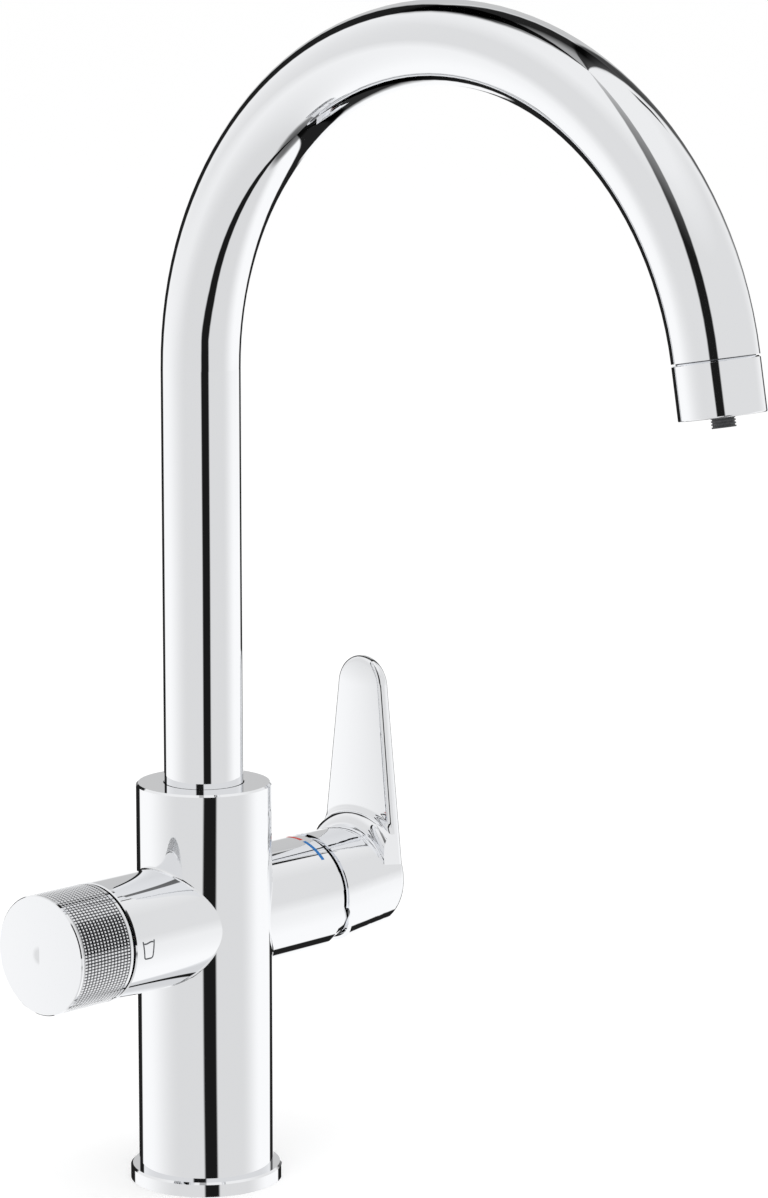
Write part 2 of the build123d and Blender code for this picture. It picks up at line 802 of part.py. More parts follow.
def make_turret():
    """The plastic turret that turns with the lever and carries its pivot pin."""
    end = pivot_x + turret_past_pivot
    collar_end = cartridge_end - cartridge_end_wall - loose_clearance
    collar_start = collar_end - turret_collar_thickness
    turret = along_handles(turret_radius, collar_start, end)
    turret += along_handles(turret_radius + turret_collar_width, collar_start, collar_end)
    cavity_end = ball_x + stem_ball_radius + 4 * loose_clearance
    turret -= bar_along_handles(
        collar_start - 1, cavity_end, turret_cavity_width, turret_cavity_height
    )
    slot_width = stem_width + 2 * loose_clearance
    turret -= bar_along_handles(cavity_end - 1, end + 1, slot_width, turret_slot_height)
    return turret - across_handles(pivot_pin_radius + seat_clearance, 3 * turret_radius, pivot_x)


def make_pivot_pin():
    """The steel pin across the turret."""
    length = 2 * math.sqrt(turret_radius**2 - pivot_pin_radius**2) - 2 * loose_clearance
    return across_handles(pivot_pin_radius, length, pivot_x)


def make_retaining_nut():
    """The brass nut that holds the cartridge in the barrel, notched for its key."""
    end = right_barrel_end - nut_end_inset
    nut = washer_along_handles(
        cartridge_pocket_radius - seat_clearance, nut_bore_radius, cartridge_end, end
    )
    middle = (cartridge_pocket_radius + nut_bore_radius) / 2
    for number in range(nut_notch_count):
        turn = 2 * math.pi * number / nut_notch_count
        y, rise = middle * math.cos(turn), middle * math.sin(turn)
        nut -= along_handles(nut_notch_radius, (cartridge_end + end) / 2, end + 1, y, rise)
    return nut


def make_cartridge_cover():
    """The chromed ball-shaped cover under the lever's cap."""
    centre = Pos(pivot_x, 0, handle_axis_height)
    cover = centre * Rot(0, 90, 0) * Sphere(cover_radius)
    cover -= centre * Rot(0, 90, 0) * Sphere(cover_radius - cover_wall)
    flange_end = right_barrel_end + cover_flange_thickness
    flange_radius = math.sqrt(cover_radius**2 - pivot_past_barrel**2)
    cover += along_handles(flange_radius, right_barrel_end, flange_end)
    cover &= along_handles(cover_radius + 1, right_barrel_end, pivot_x + cover_radius)
    cover -= along_handles(nut_bore_radius, right_barrel_end - 1, flange_end + 1)
    return cover - along_handles(cover_opening_radius, pivot_x, pivot_x + cover_radius + 1)


# Lever


def make_lever_stem():
    """The cranked stem: ball, arm, pivot hub and the square bar in the lever."""
    lean = tilt_limit / 2
    arm_middle = stem_arm_length / 2
    arm = Pos(-arm_middle, 0, 0) * Box(stem_arm_length, stem_arm_width, stem_arm_thickness)
    ball = Pos(-stem_arm_length, 0, 0) * Rot(90, 0, 0) * Cylinder(stem_ball_radius, stem_arm_width)
    inner = Pos(pivot_x, 0, handle_axis_height) * Rot(0, -lean, 0) * (arm + ball)
    stem = inner + across_handles(stem_hub_radius, stem_width, pivot_x)
    stem += bar_along_handles(pivot_x, stem_end, stem_width, stem_width)
    return stem - across_handles(pivot_pin_radius + running_clearance, 2 * stem_width, pivot_x)


def cap_shrink(x):
    """How much smaller the cap's radius is at x than at its rim, and how much higher its centre."""
    return (x - lever_rim) * lever_taper


def cap_section(x, inset=0.0):
    """The cap's round section at x: its top line is level and its underside rises."""
    height = handle_axis_height + cap_shrink(x)
    place = Plane(origin=(x, 0, height), x_dir=(0, 1, 0), z_dir=(1, 0, 0))
    return place * Circle(barrel_radius - cap_shrink(x) - inset)


def blade_outline():
    """The blade seen along the handles' axis: a large and a small arc joined by tangents."""
    foot_radius = lever_end_diameter / 2 - blade_foot_inset
    foot_height = handle_axis_height + cap_shrink(lever_end)
    top_centre = blade_top_height - blade_top_radius
    lean = math.asin((foot_radius - blade_top_radius) / (top_centre - foot_height))
    across, up = math.cos(lean), math.sin(lean)
    sides = []
    for side in (-1, 1):
        foot = (side * foot_radius * across, foot_height + foot_radius * up)
        top = (side * blade_top_radius * across, top_centre + blade_top_radius * up)
        sides.append(Line(foot, top))
    foot_arc = ThreePointArc(sides[0] @ 0, (0, foot_height - foot_radius), sides[1] @ 0)
    top_arc = ThreePointArc(sides[0] @ 1, (0, blade_top_height), sides[1] @ 1)
    return make_face([*sides, foot_arc, top_arc])


def blade_root(outline):
    """The hollow rounding between the cap's top and the blade's inner face."""
    shrink = cap_shrink(blade_inner_face)
    bottom = barrel_radius - shrink - blade_root_sink
    near = blade_inner_face - blade_root_fillet
    corner, far = (near, bottom), (blade_inner_face, bottom + blade_root_fillet)
    cove = RadiusArc(corner, far, blade_root_fillet)
    inside = blade_inner_face + blade_inner_fillet
    rest = Polyline(far, (inside, far[1]), (inside, bottom - 1), (near, bottom - 1), corner)
    profile = Plane.XZ * make_face([cove, rest])
    ring = Pos(0, 0, handle_axis_height + shrink) * revolve(profile, Axis.X, 360)
    face = Plane(origin=(near - 1, 0, 0), x_dir=(0, 1, 0), z_dir=(1, 0, 0))
    return ring & extrude(face * outline, blade_root_fillet + blade_foot_thickness)


def beside_blade():
    """What is cut from the blade's inner side, so that it thins towards its tip."""
    foot_height = handle_axis_height + barrel_radius
    thinning = (blade_foot_thickness - blade_tip_thickness) / (blade_top_height - foot_height)
    past_top = blade_top_height + 1
    low = (blade_inner_face - foot_height * thinning, 0)
    high = (blade_inner_face + (past_top - foot_height) * thinning, past_top)
    face = Plane.XZ * make_face(Polyline(low, high, (0, past_top), (0, 0), close=True))
    return extrude(face, 2 * barrel_radius, both=True)


def make_lever():
    """The lever in one casting: hollow cap with a slanted rim, and the blade above it."""
    cap = loft([cap_section(lever_rim), cap_section(lever_end)], ruled=True)
    cap = fillet(cap.edges().group_by(Axis.X)[-1], lever_edge_fillet)
    outline = blade_outline()
    face = Plane(origin=(lever_end, 0, 0), x_dir=(0, 1, 0), z_dir=(1, 0, 0))
    blade = extrude(face * outline, -2 * blade_foot_thickness) - beside_blade()
    blade = fillet(blade.faces().sort_by(Axis.X)[-1].edges(), lever_edge_fillet)
    blade = fillet(blade.faces().sort_by(Axis.X)[0].edges(), blade_inner_fillet)
    lever = cap + blade + blade_root(outline)
    hollow = [cap_section(x, lever_wall) for x in (lever_rim - 1, lever_cavity_end)]
    lever -= loft(hollow, ruled=True)
    hole_end = stem_end + loose_clearance
    socket_width = stem_width + 2 * seat_clearance
    lever -= bar_along_handles(lever_cavity_end - 1, hole_end, socket_width, socket_width)
    lever -= upright(grub_screw_radius, 0, handle_axis_height, grub_screw_x)
    return lever - lever_rim_wedge()


def lever_rim_wedge():
    """What is cut from the cap's lower rim so that the lever can tilt."""
    top = handle_axis_height - lever_rim_drop
    low = handle_axis_height - 2 * barrel_radius
    run = (top - low) * math.tan(math.radians(lever_rim_slant))
    corner = lever_rim - 1
    face = Plane.XZ * make_face(
        Polyline((corner, top), (lever_rim, top), (lever_rim + run, low), (corner, low), close=True)
    )
    return extrude(face, 2 * barrel_radius, both=True)


def make_grub_screw():
    """The grub screw under the cap that clamps the stem."""
    top = handle_axis_height - stem_width / 2
    screw = upright(grub_screw_radius - seat_clearance, top - grub_screw_length, top, grub_screw_x)
    key = Pos(grub_screw_x, 0, top - grub_screw_length) * extrude(
        RegularPolygon(hex_key_radius, 6), hex_key_depth
    )
    return screw - key


def make_grub_plug():
    """The plug that closes the grub screw's hole."""
    cap_underside = handle_axis_height - barrel_radius + 2 * cap_shrink(grub_screw_x)
    low = cap_underside + grub_plug_inset
    return upright(grub_screw_radius - seat_clearance, low, low + grub_plug_length, grub_screw_x)


pieces = {
    "base_ring": make_base_ring,
    "base_gasket": make_base_gasket,
    "base_block": make_base_block,
    "block_seals": make_block_seals,
    "column": make_column,
    "slide_washer": make_slide_washer,
    "lock_screw": make_lock_screw,
    "hose_fitting": make_hose_fitting,
    "valve_seal": make_valve_seal,
    "valve_body": make_valve_body,
    "spindle_seal": make_spindle_seal,
    "valve_fixed_disc": make_valve_fixed_disc,
    "cartridge_seals": make_cartridge_seals,
    "cartridge_housing": make_cartridge_housing,
    "mixer_fixed_disc": make_mixer_fixed_disc,
    "retaining_nut": make_retaining_nut,
    "cartridge_cover": make_cartridge_cover,
    "spout_tube": make_spout_tube,
    "spout_nipple": make_spout_nipple,
    "spout_seals": make_spout_seals,
    "filtered_hose": make_filtered_hose,
    "outlet_sleeve": make_outlet_sleeve,
    "outlet_joiner": make_outlet_joiner,
    "aerator_seal": make_aerator_seal,
    "aerator": make_aerator,
    "filtered_nozzle": make_filtered_nozzle,
    "valve_moving_disc": make_valve_moving_disc,
    "valve_spindle": make_valve_spindle,
    "spindle_clip": make_spindle_clip,
    "knob_shell": make_knob_shell,
    "knurled_sleeve": make_knurled_sleeve,
    "knob_face": make_knob_face,
    "knob_hub": make_knob_hub,
    "knob_screw": make_knob_screw,
    "turret": make_turret,
    "pivot_pin": make_pivot_pin,
    "mixer_moving_disc": make_mixer_moving_disc,
    "disc_holder": make_disc_holder,
    "lever": make_lever,
    "lever_stem": make_lever_stem,
    "grub_screw": make_grub_screw,
    "grub_plug": make_grub_plug,
}

os.makedirs("parts", exist_ok=True)
for node, make in pieces.items():
    export_step(make(), f"parts/{node}.step")
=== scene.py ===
"""Looks of a tall chromed kitchen mixer tap with a knurled knob for filtered water."""

import logging
import math
from dataclasses import dataclass, replace
from enum import Enum
from typing import Any, ClassVar, Optional

import bpy
import numpy as np
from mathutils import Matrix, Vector


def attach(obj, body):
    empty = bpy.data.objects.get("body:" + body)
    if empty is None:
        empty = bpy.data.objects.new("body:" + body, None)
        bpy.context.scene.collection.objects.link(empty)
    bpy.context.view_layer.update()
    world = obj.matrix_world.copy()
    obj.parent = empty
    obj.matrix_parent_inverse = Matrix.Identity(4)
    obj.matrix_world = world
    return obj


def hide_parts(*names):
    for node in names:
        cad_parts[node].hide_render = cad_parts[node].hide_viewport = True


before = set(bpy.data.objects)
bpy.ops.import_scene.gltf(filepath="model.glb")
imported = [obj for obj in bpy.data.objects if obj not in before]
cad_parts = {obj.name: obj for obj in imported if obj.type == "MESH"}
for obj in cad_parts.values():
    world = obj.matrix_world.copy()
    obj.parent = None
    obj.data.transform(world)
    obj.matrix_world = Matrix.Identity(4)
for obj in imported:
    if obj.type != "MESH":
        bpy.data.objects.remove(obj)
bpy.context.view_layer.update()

log = logging.getLogger("tap")
Pairs = tuple[tuple[float, float], ...]

# Sizes that more than one class shares, in metres
MM = 0.001
HANDLES_HEIGHT = 93.3 * MM
BARREL_RADIUS = 20.5 * MM
KNURL_DEPTH = 0.42 * MM

# The widest bearing or half width, in degrees, that a ramp of the studio can hold
RAMP_REACH = 200.0


# Tools for colours, nodes and meshes


def linear_colour(code: str) -> tuple[float, float, float, float]:
    """Turns an sRGB hex colour into linear light.

    Args:
        code: Six hex digits with or without a leading #.

    Returns:
        Red, green, blue and an alpha of one.
    """
    digits = code.lstrip("#")
    parts = [int(digits[i : i + 2], 16) / 255 for i in (0, 2, 4)]
    linear = [p / 12.92 if p <= 0.04045 else ((p + 0.055) / 1.055) ** 2.4 for p in parts]
    return (linear[0], linear[1], linear[2], 1.0)


def add_node(
    tree: bpy.types.NodeTree, kind: str, inputs: Optional[dict[Any, Any]] = None, **settings: Any
) -> bpy.types.Node:
    """Adds one node, sets it up and links it.

    Args:
        tree: The node tree that gets the node.
        kind: Blender's name for the kind of node.
        inputs: A value, or an output socket to link, for each input by name or number.
        settings: The node's own settings.

    Returns:
        The new node.
    """
    node = tree.nodes.new(kind)
    for name, value in settings.items():
        setattr(node, name, value)
    for socket, value in (inputs or {}).items():
        if isinstance(value, bpy.types.NodeSocket):
            tree.links.new(value, node.inputs[socket])
        else:
            node.inputs[socket].default_value = value
    return node


def fill_ramp(node: bpy.types.Node, stops: Pairs, low: float, high: float) -> None:
    """Sets a ramp's stops from pairs of (reading, grey level).

    Args:
        node: The ramp.
        stops: Readings in rising order with the level at each.
        low: The reading at the ramp's start.
        high: The reading at the ramp's end.
    """
    ramp = node.color_ramp
    while len(ramp.elements) < len(stops):
        ramp.elements.new(0.5)
    for element, (reading, level) in zip(ramp.elements, stops):
        element.position = (reading - low) / (high - low)
        element.color = (level, level, level, 1.0)


def put_mesh(name: str, points: np.ndarray, quads: np.ndarray, smooth: bool = True) -> bpy.types.Object:
    """Makes an object from points and four-cornered faces.

    Args:
        name: The new piece's name.
        points: One row of x, y, z in metres for each point.
        quads: One row of four point numbers for each face.
        smooth: Whether the faces are shaded smooth.

    Returns:
        The object, at the origin.
    """
    mesh = bpy.data.meshes.new(name)
    count = len(quads)
    mesh.vertices.add(len(points))
    mesh.vertices.foreach_set("co", points.astype(np.float32).ravel())
    mesh.loops.add(count * 4)
    mesh.loops.foreach_set("vertex_index", quads.astype(np.int32).ravel())
    mesh.polygons.add(count)
    mesh.polygons.foreach_set("loop_start", np.arange(0, count * 4, 4, dtype=np.int32))
    mesh.polygons.foreach_set("use_smooth", np.full(count, smooth))
    mesh.update(calc_edges=True)
    mesh.validate()
    if smooth:
        mesh.set_sharp_from_angle(angle=math.radians(30))
    piece = bpy.data.objects.new(name, mesh)
    bpy.context.scene.collection.objects.link(piece)
    return piece


def grid_quads(rows: int, columns: int, join_rows: bool, join_columns: bool) -> np.ndarray:
    """Faces of a grid of points numbered row by row.

    Args:
        rows: How many rows of points there are.
        columns: How many points a row has.
        join_rows: Whether the last row joins the first.
        join_columns: Whether each row's last point joins its first.

    Returns:
        One row of four point numbers for each face.
    """
    row = np.arange(rows if join_rows else rows - 1)
    column = np.arange(columns if join_columns else columns - 1)
    r, c = np.meshgrid(row, column, indexing="ij")
    r_next, c_next = (r + 1) % rows, (c + 1) % columns
    corners = (r * columns + c, r * columns + c_next, r_next * columns + c_next, r_next * columns + c)
    return np.stack(corners, axis=-1).reshape(-1, 4)


def finish_piece(piece: bpy.types.Object, finish: "Finish", body: str) -> bpy.types.Object:
    """Dresses a new piece, lets it ride on its body and logs it.

    Args:
        piece: The new piece.
        finish: What its surface is made of.
        body: The body that it moves with.

    Returns:
        The same piece.
    """
    finish.dress_piece(piece)
    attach(piece, body)
    log.info("piece %s: %d faces", piece.name, len(piece.data.polygons))
    return piece


# Finishes


class TurnedAbout(Enum):
    """The line that a piece was turned about on the lathe."""

    UPRIGHT = "Z"
    HANDLES = "X"


def surface_place(tree: bpy.types.NodeTree) -> bpy.types.NodeSocket:
    """Gives the socket with the place on the surface in metres."""
    return add_node(tree, "ShaderNodeTexCoord").outputs["Object"]


def reach_from_line(tree: bpy.types.NodeTree, axis: TurnedAbout, height: float) -> bpy.types.NodeSocket:
    """How far the surface is from a line along one axis: the root of the summed squares of the other two.

    Args:
        tree: The material's node tree.
        axis: The line's direction.
        height: How high the line lies, for a level line.

    Returns:
        The socket with the distance in metres.
    """
    centre = (0.0, 0.0, height)
    across = tuple(0.0 if name == axis.value else 1.0 for name in "XYZ")
    off = add_node(
        tree, "ShaderNodeVectorMath", {0: surface_place(tree), 1: centre}, operation="SUBTRACT"
    )
    flat = add_node(tree, "ShaderNodeVectorMath", {0: off.outputs[0], 1: across}, operation="MULTIPLY")
    return add_node(tree, "ShaderNodeVectorMath", {0: flat.outputs[0]}, operation="LENGTH").outputs["Value"]


def lathe_rings(tree: bpy.types.NodeTree, axis: TurnedAbout, pitch: float) -> bpy.types.NodeSocket:
    """Fine rings that a lathe tool leaves: the sine of the distance along the line plus the distance from it.

    Args:
        tree: The material's node tree.
        axis: The line that the piece was turned about.
        pitch: The distance between two rings in metres.

    Returns:
        The socket with the height from minus one to one.
    """
    parts = add_node(tree, "ShaderNodeSeparateXYZ", {0: surface_place(tree)})
    height = HANDLES_HEIGHT if axis is TurnedAbout.HANDLES else 0.0
    both = add_node(
        tree,
        "ShaderNodeMath",
        {0: parts.outputs[axis.value], 1: reach_from_line(tree, axis, height)},
        operation="ADD",
    )
    turns = add_node(tree, "ShaderNodeMath", {0: both.outputs[0], 1: math.tau / pitch}, operation="MULTIPLY")
    return add_node(tree, "ShaderNodeMath", {0: turns.outputs[0]}, operation="SINE").outputs[0]


@dataclass(frozen=True)
class Finish:
    """One material: its name, colour, gloss and the size of its finest pattern.

    Each kind of finish adds its own pattern in paint().
    """

    metallic: ClassVar[float] = 1.0
    name: str
    colour: str
    roughness: float
    roughness_spread: float
    grain: float

    def material(self) -> bpy.types.Material:
        """Makes the material, or gives the one already made.

        Returns:
            The material with its nodes.
        """
        made = bpy.data.materials.get(self.name)
        if made is not None:
            return made
        made = bpy.data.materials.new(self.name)
        made.use_nodes = True
        tree = made.node_tree
        shader = tree.nodes["Principled BSDF"]
        shader.inputs["Base Color"].default_value = linear_colour(self.colour)
        shader.inputs["Metallic"].default_value = self.metallic
        self.cloud_the_gloss(tree, shader)
        self.paint(tree, shader)
        return made

    def cloud_the_gloss(self, tree: bpy.types.NodeTree, shader: bpy.types.Node) -> None:
        """Lets the roughness drift over a few grains' distance, as handling and polishing leave it.

        Args:
            tree: The material's node tree.
            shader: The surface shader.
        """
        cloud = add_node(
            tree,
            "ShaderNodeTexNoise",
            {"Vector": surface_place(tree), "Scale": 1 / (self.grain * 20), "Detail": 3.0},
        )
        spread = add_node(
            tree,
            "ShaderNodeMapRange",
            {
                "Value": cloud.outputs[0],
                "From Min": 0.3,
                "From Max": 0.7,
                "To Min": self.roughness - self.roughness_spread,
                "To Max": self.roughness + self.roughness_spread,
            },
        )
        tree.links.new(spread.outputs[0], shader.inputs["Roughness"])

    def blend_colours(
        self, tree: bpy.types.NodeTree, shader: bpy.types.Node, share: bpy.types.NodeSocket, other: str
    ) -> None:
        """Mixes the finish's colour with another one.

        Args:
            tree: The material's node tree.
            shader: The surface shader.
            share: How much of the other colour shows, from zero to one.
            other: The other colour.
        """
        colours = add_node(
            tree,
            "ShaderNodeMix",
            {"Factor": share, 6: linear_colour(self.colour), 7: linear_colour(other)},
            data_type="RGBA",
        )
        tree.links.new(colours.outputs[2], shader.inputs["Base Color"])

    def paint(self, tree: bpy.types.NodeTree, shader: bpy.types.Node) -> None:
        """Adds what is special to this kind of finish; a plain one adds nothing."""

    def dress(self, *names: str) -> None:
        """Gives the finish to CAD nodes."""
        for name in names:
            self.dress_piece(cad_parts[name])

    def dress_piece(self, piece: bpy.types.Object) -> None:
        """Gives the finish to one piece."""
        piece.data.materials.clear()
        piece.data.materials.append(self.material())


@dataclass(frozen=True)
class PolishedPlate(Finish):
    """Bright plated metal: a mirror with the faint swell that polishing leaves under the plating."""

    swell: float
    swell_height: float

    def paint(self, tree: bpy.types.NodeTree, shader: bpy.types.Node) -> None:
        """Adds the swell as a very low bump.

        Args:
            tree: The material's node tree.
            shader: The surface shader.
        """
        wave = add_node(
            tree, "ShaderNodeTexNoise", {"Vector": surface_place(tree), "Scale": 1 / self.swell, "Detail": 1.0}
        )
        bump = add_node(tree, "ShaderNodeBump", {"Height": wave.outputs[0], "Distance": self.swell_height})
        tree.links.new(bump.outputs[0], shader.inputs["Normal"])


@dataclass(frozen=True)
class KnurledPlate(PolishedPlate):
    """The same plating over knurling, with painted shade in the valleys: the crests stay bright and the colour
    darkens down into the valleys.
    """

    # The colour of the painted shade at the bottom of the valleys.
    valley_shade_colour: str
    crest_reach: float
    valley_reach: float

    def paint(self, tree: bpy.types.NodeTree, shader: bpy.types.Node) -> None:
        """Paints shade into the valleys: darkens the colour from the crests' distance from the knob's line
        down to the valleys'.

        Args:
            tree: The material's node tree.
            shader: The surface shader.
        """
        super().paint(tree, shader)
        depth = add_node(
            tree,
            "ShaderNodeMapRange",
            {
                "Value": reach_from_line(tree, TurnedAbout.HANDLES, HANDLES_HEIGHT),
                "From Min": self.crest_reach,
                "From Max": self.valley_reach,
            },
        )
        # Painted shade: mixes in the valleys' dark colour by depth below the crests.
        self.blend_colours(tree, shader, depth.outputs[0], self.valley_shade_colour)


@dataclass(frozen=True)
class TurnedMetal(Finish):
    """Metal as it comes from the lathe: fine rings catch the light, and the colour is a little uneven."""

    axis: TurnedAbout
    ring_pitch: float
    ring_height: float
    dull_colour: str

    def paint(self, tree: bpy.types.NodeTree, shader: bpy.types.Node) -> None:
        """Adds the rings as a bump and lets the colour drift to the duller one.

        Args:
            tree: The material's node tree.
            shader: The surface shader.
        """
        rings = lathe_rings(tree, self.axis, self.ring_pitch)
        bump = add_node(tree, "ShaderNodeBump", {"Height": rings, "Distance": self.ring_height})
        tree.links.new(bump.outputs[0], shader.inputs["Normal"])
        patch = add_node(
            tree,
            "ShaderNodeTexNoise",
            {"Vector": surface_place(tree), "Scale": 1 / (self.grain * 40), "Detail": 4.0},
        )
        self.blend_colours(tree, shader, patch.outputs[0], self.dull_colour)


@dataclass(frozen=True)
class Moulded(Finish):
    """Moulded plastic, rubber or pressed ceramic: a fine even grain, and a second tone in soft patches."""

    metallic: ClassVar[float] = 0.0
    grain_height: float
    second_colour: str
    glow: float = 0.0

    def paint(self, tree: bpy.types.NodeTree, shader: bpy.types.Node) -> None:
        """Adds the grain as a bump, the second tone, and the light that pale plastic lets in.

        Args:
            tree: The material's node tree.
            shader: The surface shader.
        """
        skin = add_node(
            tree, "ShaderNodeTexNoise", {"Vector": surface_place(tree), "Scale": 1 / self.grain, "Detail": 2.0}
        )
        bump = add_node(tree, "ShaderNodeBump", {"Height": skin.outputs[0], "Distance": self.grain_height})
        tree.links.new(bump.outputs[0], shader.inputs["Normal"])
        patch = add_node(
            tree,
            "ShaderNodeTexNoise",
            {"Vector": surface_place(tree), "Scale": 1 / (self.grain * 15), "Detail": 3.0},
        )
        self.blend_colours(tree, shader, patch.outputs[0], self.second_colour)
        shader.inputs["Subsurface Weight"].default_value = self.glow
        shader.inputs["Subsurface Scale"].default_value = self.grain * 4


# Bright chromium over nickel on polished brass: a cool white mirror that shows the studio sharply.
CHROME = PolishedPlate(
    "bright_chrome_plate", "#F7F8FA", roughness=0.026, roughness_spread=0.01, grain=0.6 * MM, swell=16 * MM,
    swell_height=0.003 * MM,
)
# The same plate over fine knurling: bright square crests between valleys darkened with painted shade.
KNURLED_CHROME = KnurledPlate(
    "knurled_chrome_plate", "#F7F8FA", roughness=0.06, roughness_spread=0.02, grain=0.6 * MM, swell=16 * MM,
    swell_height=0.003 * MM, valley_shade_colour="#434448", crest_reach=BARREL_RADIUS - 0.06 * MM,
    valley_reach=BARREL_RADIUS - 0.8 * KNURL_DEPTH,
)
# Free-cutting brass straight from the lathe: warm yellow with fine rings.
BRASS = TurnedMetal(
    "turned_brass", "#D9B36A", roughness=0.26, roughness_spread=0.06, grain=0.3 * MM,
    axis=TurnedAbout.UPRIGHT, ring_pitch=0.5 * MM, ring_height=0.01 * MM, dull_colour="#B98F4C",
)
# The same brass in the pieces that are turned about the handles' line.
BRASS_ON_HANDLES = replace(BRASS, name="turned_brass_on_handles", axis=TurnedAbout.HANDLES)
# Dull nickel flash on the joiner: the thin grey line between tube and outlet sleeve.
NICKEL = TurnedMetal(
    "dull_nickel_flash", "#7C7E82", roughness=0.34, roughness_spread=0.05, grain=0.3 * MM,
    axis=TurnedAbout.UPRIGHT, ring_pitch=0.4 * MM, ring_height=0.004 * MM, dull_colour="#6C6E72",
)
# Stainless steel screws and pins: grey-white with turning marks.
STEEL = TurnedMetal(
    "turned_stainless_steel", "#C3C5C8", roughness=0.3, roughness_spread=0.06, grain=0.3 * MM,
    axis=TurnedAbout.HANDLES, ring_pitch=0.35 * MM, ring_height=0.008 * MM, dull_colour="#A9ACB0",
)
# Nitrile rubber seals: soft near-black with a dull bloom.
RUBBER = Moulded(
    "moulded_nitrile_rubber", "#1B1B1D", roughness=0.62, roughness_spread=0.06, grain=0.12 * MM,
    grain_height=0.004 * MM, second_colour="#242426",
)
# Lapped alumina discs: dense warm white with a quiet shine on the lapped face.
CERAMIC = Moulded(
    "lapped_alumina", "#F1EEE8", roughness=0.22, roughness_spread=0.04, grain=0.08 * MM,
    grain_height=0.001 * MM, second_colour="#E6E2DA", glow=0.05,
)
# Injection-moulded acetal: opaque milk white with a soft shine.
ACETAL = Moulded(
    "moulded_white_acetal", "#EFEFEC", roughness=0.4, roughness_spread=0.05, grain=0.15 * MM,
    grain_height=0.003 * MM, second_colour="#E4E4E0", glow=0.1,
)
# Extruded polyethylene hose: cloudy white that lets light in.
HOSE = Moulded(
    "extruded_polyethylene", "#E9EDEF", roughness=0.34, roughness_spread=0.05, grain=0.25 * MM,
    grain_height=0.004 * MM, second_colour="#DDE3E7", glow=0.25,
)
# Filled nylon of the filtered water nozzle and the plug: charcoal with a fine matt grain.
CHARCOAL = Moulded(
    "moulded_charcoal_nylon", "#4A4B4E", roughness=0.5, roughness_spread=0.06, grain=0.12 * MM,
    grain_height=0.006 * MM, second_colour="#3D3E41",
)
# Pad-printed marks, fired hard: flat colour with a thin edge of shine.
GREY_INK = Moulded(
    "printed_grey_ink", "#3C3E42", roughness=0.5, roughness_spread=0.04, grain=0.08 * MM,
    grain_height=0.001 * MM, second_colour="#46484C",
)
RED_INK = replace(GREY_INK, name="printed_red_ink", colour="#DE3328", second_colour="#D32C22")
BLUE_INK = replace(GREY_INK, name="printed_blue_ink", colour="#0A76C2", second_colour="#0A6CB4")


# Pieces on the barrels


@dataclass
class Barrels:
    """The two side barrels, which share one level line: the marks printed on them are laid on this surface."""

    axis_height: float = HANDLES_HEIGHT
    radius: float = BARREL_RADIUS

    def wrap(self, flat: np.ndarray, lift: float) -> np.ndarray:
        """Lays flat points on the barrel.

        The place along is x. The distance round is an arc length that starts at the front, level with the
        axis, and rises; its angle is the length over the radius, and the point lies that far round the axis
        at the barrel's radius plus the lift.

        Args:
            flat: One row of the place along and the arc length for each point.
            lift: How far above the surface the points lie.

        Returns:
            One row of x, y, z for each point.
        """
        angle = flat[:, 1] / self.radius
        reach = self.radius + lift
        return np.stack(
            [flat[:, 0], -reach * np.cos(angle), self.axis_height + reach * np.sin(angle)], axis=-1
        )


@dataclass
class PrintedLine:
    """A line of ink on a barrel: a thin closed strip that follows a path laid flat."""

    name: str
    width: float
    ink: Finish
    path: np.ndarray
    step: float = 0.35 * MM
    thickness: float = 0.03 * MM

    def fine_path(self) -> np.ndarray:
        """Gives the path with all its corners and with points between them no further apart than the step."""
        reach = np.append(0.0, np.cumsum(np.linalg.norm(np.diff(self.path, axis=0), axis=1)))
        places = np.union1d(reach, np.linspace(0, reach[-1], int(reach[-1] / self.step) + 2))
        places = places[np.append(True, np.diff(places) > 0.01 * MM)]
        return np.stack([np.interp(places, reach, self.path[:, k]) for k in (0, 1)], axis=-1)

    def build(self, barrels: Barrels) -> bpy.types.Object:
        """Makes the strip.

        At each point of the path the sideways direction is the mitred normal of its two neighbours. Half the
        width to each side gives the two edges, and both edges are laid on the barrel just under its surface
        and again at the ink's thickness above it, which gives a four-cornered section along the path.

        Args:
            barrels: The surface that the line lies on.

        Returns:
            The strip with its ink, riding on the tap's body.
        """
        path = self.fine_path()
        step = np.diff(path, axis=0)
        side = np.stack([-step[:, 1], step[:, 0]], axis=-1) / np.linalg.norm(step, axis=1, keepdims=True)
        ahead, behind = np.vstack([side, side[-1:]]), np.vstack([side[:1], side])
        middle = ahead + behind
        mitre = middle / np.maximum((middle * ahead).sum(axis=1, keepdims=True), 0.35)
        left, right = path + mitre * self.width / 2, path - mitre * self.width / 2
        low, high = -self.thickness, self.thickness
        corners = ((left, low), (right, low), (right, high), (left, high))
        points = np.stack([barrels.wrap(edge, lift) for edge, lift in corners], axis=1).reshape(-1, 3)
        last = (len(path) - 1) * 4
        ends = [[3, 2, 1, 0], [last, last + 1, last + 2, last + 3]]
        quads = np.vstack([grid_quads(len(path), 4, False, True), ends])
        return finish_piece(put_mesh(self.name, points, quads, smooth=False), self.ink, "tap_body")


